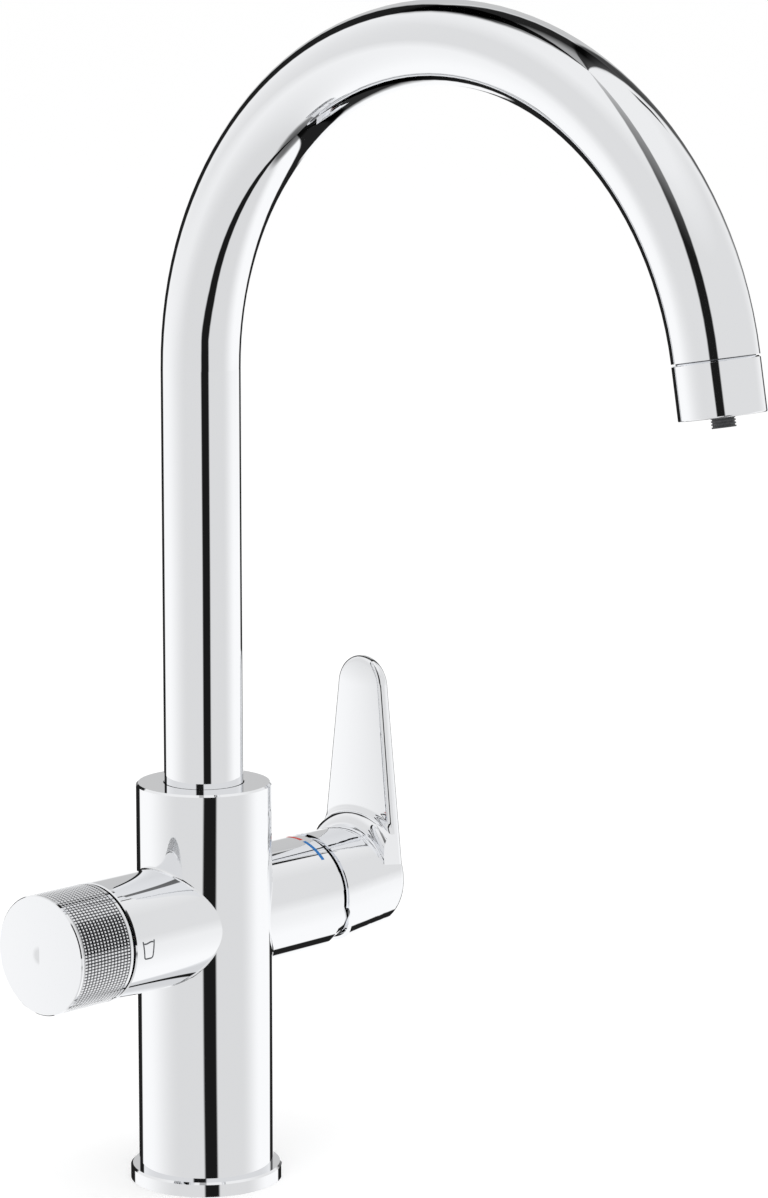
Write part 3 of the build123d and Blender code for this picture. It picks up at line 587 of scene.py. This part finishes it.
@dataclass
class GlassMark:
    """The small tumbler printed beside the knob: two leaning sides, a round-cornered base and a water line."""

    centre_along: float = -46.4 * MM
    top_round: float = 3.1 * MM
    base_round: float = -3.1 * MM
    half_top: float = 2.55 * MM
    half_base: float = 1.9 * MM
    corner: float = 0.8 * MM
    line: float = 0.5 * MM
    water_drop: float = 0.75 * MM
    wave_height: float = 0.2 * MM
    wave_share: float = 0.85

    def build(self, barrels: Barrels) -> None:
        """Draws the tumbler's outline and its water line.

        The outline goes down one side, round each corner on an arc and up the other side. The water line is
        a shallow wave between the sides.

        Args:
            barrels: The surface that the mark lies on.
        """
        turn = np.linspace(0, math.pi / 2, 7)
        left_corner = np.stack(
            [
                -self.half_base + self.corner * (1 - np.cos(turn)),
                self.base_round + self.corner * (1 - np.sin(turn)),
            ],
            axis=-1,
        )
        right_corner = left_corner[::-1] * [-1, 1]
        tops = np.array([[-self.half_top, self.top_round], [self.half_top, self.top_round]])
        outline = np.vstack([tops[:1], left_corner, right_corner, tops[1:]])
        across = np.linspace(-self.wave_share, self.wave_share, 15)
        wave = self.top_round - self.water_drop + self.wave_height * np.sin(across * math.pi)
        water = np.stack([across * self.half_top * 0.95, wave], axis=-1)
        for name, path in (("glass_mark_outline", outline), ("glass_mark_water_line", water)):
            PrintedLine(name, self.line, GREY_INK, path + [self.centre_along, 0.0]).build(barrels)


@dataclass
class TemperatureMarks:
    """The red and blue marks on the barrel beside the mixer lever."""

    along: float = 44.6 * MM
    width: float = 1.35 * MM
    red_from: float = 35.6 * MM
    red_to: float = 28.6 * MM
    blue_from: float = 27.2 * MM
    blue_to: float = 16.4 * MM

    def build(self, barrels: Barrels) -> None:
        """Lays each mark as a short strip round the barrel.

        Args:
            barrels: The surface that the marks lie on.
        """
        marks = (
            ("hot_mark", RED_INK, self.red_from, self.red_to),
            ("cold_mark", BLUE_INK, self.blue_from, self.blue_to),
        )
        for name, ink, start, end in marks:
            ends = np.array([[self.along, start], [self.along, end]])
            PrintedLine(name, self.width, ink, ends).build(barrels)


@dataclass
class KnurledGrip:
    """The knurled sleeve of the filtered water knob: square pyramids with flat tops, in rows and rings."""

    inner: float = 19.2 * MM
    near_end: float = -54.54 * MM
    far_end: float = -75.9 * MM
    rings: int = 14
    teeth_round: int = 116
    rim: float = 0.25 * MM
    rim_drop: float = 0.02 * MM
    flat_share: float = 0.45

    def build(self) -> bpy.types.Object:
        """Makes the sleeve as one closed ring.

        A tooth's corners lie at the valley and at both edges of its flat top. The section along the handles'
        line starts inside the bore, comes out over the near rim, runs over the rings of teeth and goes back
        in over the far rim. The radius is the barrel's less the knurling's depth times one minus the lower
        of the two heights, along and round.

        Returns:
            The sleeve, riding with the knob in place of the plain one.
        """
        edge = (1 - self.flat_share) / 2
        share, height = np.array([0.0, edge, 1 - edge]), np.array([0.0, 1.0, 1.0])
        turn = (np.arange(self.teeth_round)[:, None] + share).ravel() / self.teeth_round * math.tau
        total = self.near_end - self.far_end
        last = total - self.rim
        along = (np.arange(self.rings)[:, None] + share).ravel() / self.rings * (last - self.rim) + self.rim
        along = np.concatenate([[0, 0, self.rim], along, [last, last, total, total]])
        tooth = np.minimum(np.tile(height, self.rings)[:, None], np.tile(height, self.teeth_round)[None, :])
        full = BARREL_RADIUS - self.rim_drop
        valley = BARREL_RADIUS - KNURL_DEPTH
        levels = ([self.inner, full, full], [valley, full, full, self.inner])
        plain = [np.repeat(np.array(level)[:, None], len(turn), axis=1) for level in levels]
        radius = np.vstack([plain[0], BARREL_RADIUS - KNURL_DEPTH * (1 - tooth), plain[1]])
        place = np.repeat((self.near_end - along)[:, None], len(turn), axis=1)
        rise = HANDLES_HEIGHT + radius * np.sin(turn)
        points = np.stack([place, radius * np.cos(turn), rise], axis=-1).reshape(-1, 3)
        quads = grid_quads(len(along), len(turn), True, True)
        piece = put_mesh("knurled_grip", points, quads, smooth=False)
        finish_piece(piece, KNURLED_CHROME, "filter_knob")
        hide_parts("knurled_sleeve")
        return piece


@dataclass
class BladeCrown:
    """The swelling of the lever blade's inner face, which the hand feels as a soft crown.

    The blade's outline is a tapered strip with a round top. The crown covers its flat inner face from just
    inside the outline: a tight arc leaves the rounded edge and runs over into a slow swell towards the
    blade's middle line. At the root it sweeps forward on to the cap in a cove.
    """

    top_height: float = 164.0 * MM
    top_radius: float = 10.9 * MM
    widening: float = 0.1108
    face_place: float = 77.3 * MM
    face_height: float = 113.8 * MM
    face_lean: float = 0.01473
    cap_rim: float = 51.5 * MM
    cap_taper: float = 0.05189
    border: float = 0.486 * MM
    border_depth: float = 0.57 * MM
    border_slope: float = math.radians(47)
    sharp_border: float = 0.03 * MM
    run_out: float = 0.3
    swell_slope: float = math.radians(8)
    edge_radius: float = 2.4 * MM
    cove_radius: float = 5.0 * MM
    sunk: float = 0.25 * MM
    back_depth: float = 1.5 * MM
    top_margin: float = 0.02 * MM
    curve_share: float = 0.5
    rounds: int = 40
    rows: int = 110
    columns: int = 65

    def cap_reach(self, place: np.ndarray, across: np.ndarray, height: np.ndarray) -> np.ndarray:
        """How far points lie outside the cap, a cone whose radius shrinks away from its rim."""
        shrink = (place - self.cap_rim) * self.cap_taper
        return np.hypot(across, height - HANDLES_HEIGHT - shrink) - (BARREL_RADIUS - shrink)

    def from_outline(self, across: np.ndarray, height: np.ndarray) -> tuple[np.ndarray, np.ndarray]:
        """Gives how far points lie inside the blade's outline, and how far the middle line there does.

        The foot of the point on the middle line is found along the leaning side's normal, and no higher
        than the round top's centre. The middle line's distance is the top's radius plus the widening times
        the way down from that centre, and the point's is that less its own way from the foot.

        Args:
            across: The points' places across the blade.
            height: The points' heights.

        Returns:
            The points' distances from the outline and the middle line's.
        """
        lean = math.asin(self.widening)
        foot = np.minimum(height - np.abs(across) * math.tan(lean), self.top_height)
        middle = self.top_radius + (self.top_height - foot) * self.widening
        return middle - np.hypot(across, height - foot), middle

    def half_width(self, height: np.ndarray, inset: np.ndarray) -> np.ndarray:
        """How far the outline, drawn in by the inset, lies from the middle line at each height.

        Args:
            height: The heights.
            inset: How far inside the true outline the edge lies.

        Returns:
            The distances across.
        """
        lean = math.asin(self.widening)
        radius = self.top_radius - inset
        up = height - self.top_height
        side = (radius - up * self.widening) / math.cos(lean)
        arc = np.sqrt(np.maximum(radius**2 - up**2, 0.0))
        return np.where(up > radius * self.widening, arc, side)

    def proud(self, inside: np.ndarray, middle: np.ndarray) -> np.ndarray:
        """How far the crown stands out from its own border.

        Over the edge arc the rise is the radius times the difference of the cosines of the two slopes. From
        there the swell is a parabola whose slope fades to nothing at the middle line.

        Args:
            inside: The points' distances from the border.
            middle: The middle line's distance from the border.

        Returns:
            The rise over the border.
        """
        steep, slow = math.sin(self.border_slope), math.sin(self.swell_slope)
        edge = self.edge_radius * (steep - slow)
        sine = steep - np.minimum(inside, edge) / self.edge_radius
        arc = self.edge_radius * (np.sqrt(1 - sine**2) - math.cos(self.border_slope))
        reach = np.maximum(middle - edge, 0.1 * MM)
        share = 1 - np.clip((inside - edge) / reach, 0, 1)
        return arc + 0.5 * math.tan(self.swell_slope) * reach * (1 - share**2)

    def build(self) -> bpy.types.Object:
        """Makes the crown as a closed shell whose back lies inside the blade.

        Rows run from the cap to the top. The first one follows the cap's surface and the higher ones lose
        that curve little by little. A point's way across is its share of the width at its own height, and
        both settle together in a few rounds over the whole grid. Near the cap the border moves out to the
        sharp edge of the cove.

        Returns:
            The crown, riding with the mixer lever.
        """
        share = np.sin(np.linspace(-math.pi / 2, math.pi / 2, self.columns))[None, :]
        turn = np.linspace(0, 1, self.rows)[:, None]
        low = self.face_height
        high = self.top_height + self.top_radius - self.border - self.top_margin
        rise = (1 - np.cos(turn * math.pi)) / 2
        level = low + (high - low) * rise
        fade = np.clip(1 - rise / self.curve_share, 0, 1) ** 2
        across = share * self.top_radius * np.ones_like(level)
        height = level + 0 * share
        place = self.face_place * np.ones_like(height)
        for _ in range(self.rounds):
            shrink = (place - self.cap_rim) * self.cap_taper
            radius = BARREL_RADIUS - shrink - self.sunk
            curve = HANDLES_HEIGHT + shrink + np.sqrt(np.maximum(radius**2 - across**2, 0)) - low
            height = level + fade * curve
            reach = self.cap_reach(place, across, height)
            near = np.clip(1 - reach / self.cove_radius, 0, 1)
            away = np.clip(reach[:, :1] / self.cove_radius - 1, 0, self.run_out) / self.run_out
            inset = self.sharp_border + (self.border - self.sharp_border) * away
            depth = (self.border_depth + self.sharp_border) * away - self.sharp_border
            across = share * self.half_width(height, inset)
            inside, middle = self.from_outline(across, height)
            cove = self.cove_radius * (1 - np.sqrt(np.maximum(1 - near**2, 0)))
            face = self.face_place + (height - self.face_height) * self.face_lean
            place = face + depth - self.proud(np.maximum(inside - inset, 0), middle - inset) - cove
        front = np.stack([place, across, height], axis=-1)
        back = np.stack([face + self.back_depth, across, height], axis=-1)
        loops = np.concatenate([front, back[:, ::-1]], axis=1)
        count = 2 * self.columns
        pairs = np.arange(self.columns - 1)
        cap = np.stack([pairs, pairs + 1, count - 2 - pairs, count - 1 - pairs], axis=-1)
        top_cap = cap + (self.rows - 1) * count
        quads = np.vstack([grid_quads(self.rows, count, False, True), cap[:, ::-1], top_cap])
        piece = put_mesh("blade_crown", loops.reshape(-1, 3), quads)
        finish_piece(piece, CHROME, "mixer_lever")
        return piece


@dataclass
class ScrewThread:
    """The thread in one hole of the brass block: a ridge that winds up the bore."""

    name: str
    place: tuple[float, float]
    bore: float
    pitch: float
    depth: float
    lead_in: float = 0.8 * MM
    crest_share: float = 0.33
    foot_depth: float = 0.1 * MM
    fade_turns: float = 0.5
    steps_per_turn: int = 40

    def build(self) -> bpy.types.Object:
        """Makes the ridge.

        Its section is a blunt triangle: the foot lies a little inside the brass and the crest stands out by
        a third of the pitch. The section goes round at an even rate and climbs one pitch a turn, and the
        ridge grows out of the bore over its first and last half turn.

        Returns:
            The ridge, riding on the tap's body.
        """
        turns = (self.depth - 2 * self.lead_in) / self.pitch
        count = int(turns * self.steps_per_turn)
        turn = np.linspace(0, turns, count)[:, None]
        grown = np.clip(np.minimum(turn, turns - turn) / self.fade_turns, 0, 1)
        crest = self.bore - self.pitch * self.crest_share * grown
        foot = self.bore + self.foot_depth
        radius = np.hstack([np.full((count, 1), foot), crest, crest, np.full((count, 1), foot)])
        spread = np.array([-0.46, -0.07, 0.07, 0.46]) * self.pitch
        height = self.lead_in + turn * self.pitch + spread
        angle = turn * math.tau
        x = self.place[0] + radius * np.cos(angle)
        y = self.place[1] + radius * np.sin(angle)
        points = np.stack([x, y, height], axis=-1).reshape(-1, 3)
        last = (count - 1) * 4
        ends = [[3, 2, 1, 0], [last, last + 1, last + 2, last + 3]]
        quads = np.vstack([grid_quads(count, 4, False, True), ends])
        return finish_piece(put_mesh(self.name, points, quads), BRASS, "tap_body")


# Sub-assemblies of the tap


@dataclass
class TapBody:
    """The standing part: column, foot, filtered water valve and mixer cartridge."""

    barrels: Barrels
    inlets: tuple[tuple[float, float], ...] = ((-3.5, -9.2), (-3.5, 9.2), (-11.5, 0.0))
    stud_holes: tuple[tuple[float, float], ...] = ((11.5, -7.0), (11.5, 7.0))

    def build(self) -> None:
        """Dresses the body's pieces, cuts the threads in its foot and prints the marks on the barrels."""
        self.dress()
        for index, (x, y) in enumerate(self.inlets):
            ScrewThread(f"inlet_thread_{index + 1}", (x * MM, y * MM), 4.5 * MM, 1.0 * MM, 13.0 * MM).build()
        for index, (x, y) in enumerate(self.stud_holes):
            ScrewThread(f"stud_thread_{index + 1}", (x * MM, y * MM), 2.5 * MM, 1.0 * MM, 15.0 * MM).build()
        GlassMark().build(self.barrels)
        TemperatureMarks().build(self.barrels)
        log.info("tap body dressed")

    def dress(self) -> None:
        """Gives each of the body's pieces its finish."""
        CHROME.dress("column", "base_ring", "cartridge_cover")
        BRASS.dress("base_block", "hose_fitting")
        BRASS_ON_HANDLES.dress("valve_body", "retaining_nut")
        RUBBER.dress("base_gasket", "block_seals", "valve_seal", "spindle_seal", "cartridge_seals")
        CERAMIC.dress("valve_fixed_disc", "mixer_fixed_disc")
        ACETAL.dress("slide_washer", "cartridge_housing")
        STEEL.dress("lock_screw")


@dataclass
class Spout:
    """The swivelling spout with its hose, outlet and nozzle."""

    def build(self) -> None:
        """Dresses the spout's pieces."""
        CHROME.dress("spout_tube", "outlet_sleeve")
        BRASS.dress("spout_nipple")
        NICKEL.dress("outlet_joiner")
        RUBBER.dress("spout_seals", "aerator_seal")
        HOSE.dress("filtered_hose")
        ACETAL.dress("aerator")
        CHARCOAL.dress("filtered_nozzle")
        log.info("spout dressed")


@dataclass
class FilterKnob:
    """The filtered water knob and what turns with it."""

    grip: KnurledGrip

    def build(self) -> None:
        """Dresses the knob's pieces and cuts its knurling."""
        CHROME.dress("knob_shell", "knurled_sleeve", "knob_face")
        BRASS_ON_HANDLES.dress("valve_spindle")
        CERAMIC.dress("valve_moving_disc")
        STEEL.dress("spindle_clip", "knob_screw")
        ACETAL.dress("knob_hub")
        self.grip.build()
        log.info("filtered water knob dressed")


@dataclass
class Mixer:
    """The mixer lever with its stem, turret and moving disc."""

    crown: BladeCrown

    def build(self) -> None:
        """Dresses the mixer's moving pieces and crowns the lever's blade."""
        CHROME.dress("lever")
        STEEL.dress("pivot_pin", "lever_stem", "grub_screw")
        CHARCOAL.dress("grub_plug")
        ACETAL.dress("turret", "disc_holder")
        CERAMIC.dress("mixer_moving_disc")
        self.crown.build()
        log.info("mixer dressed")


# Studio


@dataclass(frozen=True)
class DarkStrip:
    """A dark patch of the studio as the metal sees it, by bearing and height angle in degrees.

    The middle, the half width and the depth of the strip follow the height angle, in pairs of (height
    angle, value).
    """

    blur: float
    middle: Pairs
    half_width: Pairs
    depth: Pairs


@dataclass(frozen=True)
class ScreenRow:
    """One row of the tent's side screens: an even level in front that runs over into another behind the tap.

    The change is spread between two bearings on each side, in degrees.
    """

    front_level: float
    back_level: float
    left: tuple[float, float]
    right: tuple[float, float]


LOW_SCREENS = ScreenRow(0.745, 1.02, (-40, -112), (65, 110))
MIDDLE_SCREENS = ScreenRow(0.77, 1.0, (-80, -170), (105, 175))
HIGH_SCREENS = ScreenRow(0.9, 0.9, (-80, -170), (105, 175))
# The gap between the side screens in front, where the camera stands.
FRONT_GAP = DarkStrip(
    4.0,
    (
        (-90, 6),
        (-66, 8),
        (-42, 11.5),
        (-28, 13.5),
        (-16, 10.5),
        (-12, 12.7),
        (-9, 14),
        (-5.5, 13.4),
        (4, -9),
        (90, -9),
    ),
    ((-90, 11), (90, 11)),
    ((-90, 0.985), (28, 0.985), (38, 0.93), (48, 0.8), (62, 0.68), (76, 0.5), (90, 0.3)),
)
# The gaps behind the tap, one to each side of the back screen.
LEFT_BACK_GAP = DarkStrip(
    4.0,
    ((-90, -150), (-42, -149), (-28, -143), (-19, -157), (-8, -156), (6, -146), (20, -149), (90, -150)),
    ((-90, 14), (-42, 14), (-28, 13), (-19, 18), (-8, 18), (6, 13), (20, 14), (90, 14)),
    ((-90, 0.985), (90, 0.985)),
)
RIGHT_BACK_GAP = DarkStrip(
    3.0,
    ((-90, 150), (-57, 158), (-42, 155), (-28, 150), (-17, 155), (-8, 153), (6, 157), (30, 154), (90, 150)),
    ((-90, 14), (-57, 16), (-42, 12), (-28, 8), (-17, 11), (-8, 10), (6, 8), (90, 8)),
    ((-90, 0.985), (-6, 0.985), (4, 0.75), (30, 0.9), (90, 0.9)),
)
# The table's far edge below the back screen, and the dark under the table.
TABLE_EDGE = DarkStrip(
    3.0, ((-90, -167.5), (90, -167.5)), ((-90, 30), (90, 30)), ((-90, 0.975), (-48, 0.975), (-36, 0))
)
UNDER_TABLE = DarkStrip(3.0, ((-90, 0), (90, 0)), ((-90, 190), (90, 190)), ((-90, 0.9), (-80, 0.75), (-75, 0)))
# The ceiling behind the back screen, the screen's own shaded upper part, and its rail.
CEILING = DarkStrip(
    16.0,
    ((-90, -172), (48, -172), (64, -168), (90, -168)),
    ((-90, 38), (48, 38), (64, 46), (90, 46)),
    ((-90, 0), (40, 0), (44, 0.98), (62, 0.98), (76, 0.6), (90, 0.5)),
)
SCREEN_SHADE = DarkStrip(
    6.0,
    ((-90, 172), (90, 172)),
    ((-90, 28), (90, 28)),
    ((-90, 0), (2, 0), (8, 0.42), (38, 0.42), (42, 0)),
)
SCREEN_RAIL = DarkStrip(
    2.0, ((-90, 135.6), (90, 135.6)), ((-90, 2.5), (90, 2.5)), ((-90, 0), (36, 0), (39, 1), (48, 1), (51, 0))
)


@dataclass
class Studio:
    """Pale floor, white surround, soft lamps and camera.

    Bearings run round the tap from the camera's own side, to the right as positive, in degrees.
    """

    camera_place: tuple[float, float, float] = (-0.99725, -1.01754, 0.4424)
    camera_aim: tuple[float, float, float] = (0.7206, 0.6736, -0.1645)
    lens: float = 126.23
    camera_side: float = 223.07
    even_level: float = 0.85
    floor_half: float = 40.0
    floor_glow: float = 0.2
    lamp_place: tuple[float, float, float] = (-0.6, -0.5, 1.8)
    lamp_aim: tuple[float, float, float] = (0.0, 0.0, 0.1)
    lamp_side: float = 1.6
    lamp_power: float = 9.0
    screens: tuple[ScreenRow, ...] = (LOW_SCREENS, MIDDLE_SCREENS, HIGH_SCREENS)
    row_changes: Pairs = ((-9, 5), (34, 58))
    strips: tuple[DarkStrip, ...] = (
        FRONT_GAP,
        LEFT_BACK_GAP,
        RIGHT_BACK_GAP,
        TABLE_EDGE,
        UNDER_TABLE,
        CEILING,
        SCREEN_SHADE,
        SCREEN_RAIL,
    )

    def build(self) -> None:
        """Sets up the floor, the world, the lamps and the camera."""
        self.build_floor()
        self.build_world()
        self.build_lamps()
        self.build_camera()
        bpy.context.scene.view_settings.view_transform = "Standard"
        log.info("studio ready")

    def build_floor(self) -> None:
        """Lays a wide pale floor that keeps the tap's soft shadow and isn't mirrored in the metal.

        A little glow that only the camera sees brings the floor up to plain white away from the shadow.
        """
        size = self.floor_half
        corners = np.array([[-size, -size, 0], [size, -size, 0], [size, size, 0], [-size, size, 0]])
        floor = put_mesh("studio_floor", corners - [0, 0, 0.05 * MM], np.array([[0, 1, 2, 3]]), smooth=False)
        material = bpy.data.materials.new("studio_floor_white")
        material.use_nodes = True
        tree = material.node_tree
        shader = tree.nodes["Principled BSDF"]
        shader.inputs["Base Color"].default_value = linear_colour("#F8F8F8")
        shader.inputs["Roughness"].default_value = 0.9
        shader.inputs["Specular IOR Level"].default_value = 0.0
        shader.inputs["Emission Color"].default_value = linear_colour("#FFFFFF")
        seen = add_node(tree, "ShaderNodeLightPath").outputs["Is Camera Ray"]
        glow = add_node(tree, "ShaderNodeMath", {0: seen, 1: self.floor_glow}, operation="MULTIPLY")
        tree.links.new(glow.outputs[0], shader.inputs["Emission Strength"])
        floor.data.materials.append(material)
        floor.visible_glossy = False

    def ramp(
        self, tree: bpy.types.NodeTree, height: bpy.types.NodeSocket, stops: Pairs
    ) -> bpy.types.NodeSocket:
        """Gives a value that follows the height angle, for values up to RAMP_REACH to either side of zero.

        A ramp only holds levels from zero to one, so the value is squeezed into that span and spread again.

        Args:
            tree: The world's node tree.
            height: The ray's height as a share of the way from straight down to straight up.
            stops: The value at each height angle.

        Returns:
            The socket with the value.
        """
        share = add_node(tree, "ShaderNodeValToRGB", {0: height})
        span = 2 * RAMP_REACH
        fill_ramp(share, tuple((angle, (value + RAMP_REACH) / span) for angle, value in stops), -90, 90)
        spread = {0: share.outputs[0], 1: span, 2: -RAMP_REACH}
        return add_node(tree, "ShaderNodeMath", spread, operation="MULTIPLY_ADD").outputs[0]

    def strip_light(
        self,
        tree: bpy.types.NodeTree,
        bearing: bpy.types.NodeSocket,
        height: bpy.types.NodeSocket,
        strip: DarkStrip,
    ) -> bpy.types.NodeSocket:
        """How much of the light one dark strip leaves, from zero to one.

        The bearing less the strip's middle at that height, wrapped to half a turn each way, gives the
        distance from the middle. Past the half width it fades to no shade over the blur.

        Args:
            tree: The world's node tree.
            bearing: The ray's bearing in degrees.
            height: The ray's height as a share of the way from straight down to straight up.
            strip: The strip.

        Returns:
            The socket with the light that is left.
        """
        middle, half = (self.ramp(tree, height, stops) for stops in (strip.middle, strip.half_width))
        away = add_node(tree, "ShaderNodeMath", {0: bearing, 1: middle}, operation="SUBTRACT")
        wrapped = add_node(tree, "ShaderNodeMath", {0: away.outputs[0], 1: 180.0, 2: -180.0}, operation="WRAP")
        distance = add_node(tree, "ShaderNodeMath", {0: wrapped.outputs[0]}, operation="ABSOLUTE")
        past = add_node(tree, "ShaderNodeMath", {0: distance.outputs[0], 1: half}, operation="SUBTRACT")
        lit = add_node(
            tree,
            "ShaderNodeMapRange",
            {"Value": past.outputs[0], "From Min": -strip.blur / 2, "From Max": strip.blur / 2},
            interpolation_type="SMOOTHSTEP",
        )
        depth = add_node(tree, "ShaderNodeValToRGB", {0: height})
        fill_ramp(depth, strip.depth, -90, 90)
        dark = add_node(tree, "ShaderNodeMath", {0: 1.0, 1: lit.outputs[0]}, operation="SUBTRACT")
        both = {0: dark.outputs[0], 1: depth.outputs[0]}
        shade = add_node(tree, "ShaderNodeMath", both, operation="MULTIPLY")
        return add_node(tree, "ShaderNodeMath", {0: 1.0, 1: shade.outputs[0]}, operation="SUBTRACT").outputs[0]

    def row_light(
        self, tree: bpy.types.NodeTree, bearing: bpy.types.NodeSocket, row: ScreenRow
    ) -> bpy.types.NodeSocket:
        """How bright one row of screens is: the larger of the levels that its two sides give.

        Args:
            tree: The world's node tree.
            bearing: The ray's bearing in degrees.
            row: The row.

        Returns:
            The socket with the brightness.
        """
        left, right = (
            add_node(
                tree,
                "ShaderNodeMapRange",
                {0: bearing, 1: start, 2: end, 3: row.front_level, 4: row.back_level},
                interpolation_type="SMOOTHSTEP",
            ).outputs[0]
            for start, end in (row.left, row.right)
        )
        return add_node(tree, "ShaderNodeMath", {0: left, 1: right}, operation="MAXIMUM").outputs[0]

    def screen_light(
        self, tree: bpy.types.NodeTree, bearing: bpy.types.NodeSocket, height: bpy.types.NodeSocket
    ) -> bpy.types.NodeSocket:
        """How bright the screens are before the gaps are taken out of them.

        The rows stand above one another, and each runs over into the next between two height angles.

        Args:
            tree: The world's node tree.
            bearing: The ray's bearing in degrees.
            height: The ray's height as a share of the way from straight down to straight up.

        Returns:
            The socket with the brightness.
        """
        light, *upper = (self.row_light(tree, bearing, row) for row in self.screens)
        for level, angles in zip(upper, self.row_changes):
            low, high = (angle / 180 + 0.5 for angle in angles)
            blend = add_node(tree, "ShaderNodeMapRange", {0: height, 1: low, 2: high})
            light = add_node(tree, "ShaderNodeMix", {0: blend.outputs[0], 2: light, 3: level}).outputs[0]
        return light

    def build_world(self) -> None:
        """Sets the surround: white to the camera, even to matt surfaces, and a photographer's tent to metal.

        The tent is worked out from the ray's direction alone: its bearing and height angle give the level
        of the side screens, and each dark strip between the screens takes light away.
        """
        world = bpy.data.worlds.new("studio_surround")
        bpy.context.scene.world = world
        world.use_nodes = True
        tree = world.node_tree
        tree.nodes.clear()
        ray = add_node(tree, "ShaderNodeTexCoord").outputs["Generated"]
        parts = add_node(tree, "ShaderNodeSeparateXYZ", {0: ray})
        turn = add_node(
            tree, "ShaderNodeMath", {0: parts.outputs["Y"], 1: parts.outputs["X"]}, operation="ARCTAN2"
        )
        degrees = add_node(
            tree,
            "ShaderNodeMath",
            {0: turn.outputs[0], 1: 180 / math.pi, 2: -self.camera_side},
            operation="MULTIPLY_ADD",
        )
        bearing = add_node(
            tree, "ShaderNodeMath", {0: degrees.outputs[0], 1: 180.0, 2: -180.0}, operation="WRAP"
        ).outputs[0]
        rise = add_node(tree, "ShaderNodeMath", {0: parts.outputs["Z"]}, operation="ARCSINE")
        height = add_node(
            tree, "ShaderNodeMath", {0: rise.outputs[0], 1: 1 / math.pi, 2: 0.5}, operation="MULTIPLY_ADD"
        ).outputs[0]
        light = self.screen_light(tree, bearing, height)
        for strip in self.strips:
            left = self.strip_light(tree, bearing, height, strip)
            light = add_node(tree, "ShaderNodeMath", {0: light, 1: left}, operation="MULTIPLY").outputs[0]
        white = linear_colour("#FFFFFF")
        tent, even, seen = (
            add_node(tree, "ShaderNodeBackground", {"Color": white, "Strength": strength}).outputs[0]
            for strength in (light, self.even_level, 1.0)
        )
        path = add_node(tree, "ShaderNodeLightPath")
        shown = even
        for kind, other in (("Is Glossy Ray", tent), ("Is Camera Ray", seen)):
            parts = {0: path.outputs[kind], 1: shown, 2: other}
            shown = add_node(tree, "ShaderNodeMixShader", parts).outputs[0]
        add_node(tree, "ShaderNodeOutputWorld", {"Surface": shown})

    def build_lamps(self) -> None:
        """Hangs one wide soft lamp over the front left, which gives the floor its soft shadow."""
        light = bpy.data.lights.new("overhead_softbox", "AREA")
        light.shape = "RECTANGLE"
        light.size, light.size_y = self.lamp_side, self.lamp_side
        light.energy = self.lamp_power
        lamp = bpy.data.objects.new("overhead_softbox", light)
        lamp.location = self.lamp_place
        lamp.rotation_mode = "QUATERNION"
        lamp.rotation_quaternion = (Vector(self.lamp_aim) - lamp.location).to_track_quat("-Z", "Y")
        lamp.visible_glossy = False
        bpy.context.scene.collection.objects.link(lamp)

    def build_camera(self) -> None:
        """Stands the camera where the photograph was taken from."""
        data = bpy.data.cameras.new("camera")
        data.lens = self.lens
        data.sensor_width = 36.0
        data.clip_start, data.clip_end = 0.05, 100.0
        camera = bpy.data.objects.new("camera", data)
        camera.location = self.camera_place
        camera.rotation_mode = "QUATERNION"
        camera.rotation_quaternion = Vector(self.camera_aim).to_track_quat("-Z", "Y")
        bpy.context.scene.collection.objects.link(camera)
        bpy.context.scene.camera = camera


def main() -> None:
    """Builds the tap's pieces in order, then the studio."""
    logging.basicConfig(level=logging.INFO, format="%(message)s")
    for part in (TapBody(Barrels()), Spout(), FilterKnob(KnurledGrip()), Mixer(BladeCrown())):
        part.build()
    Studio().build()


if __name__ == "__main__":
    main()
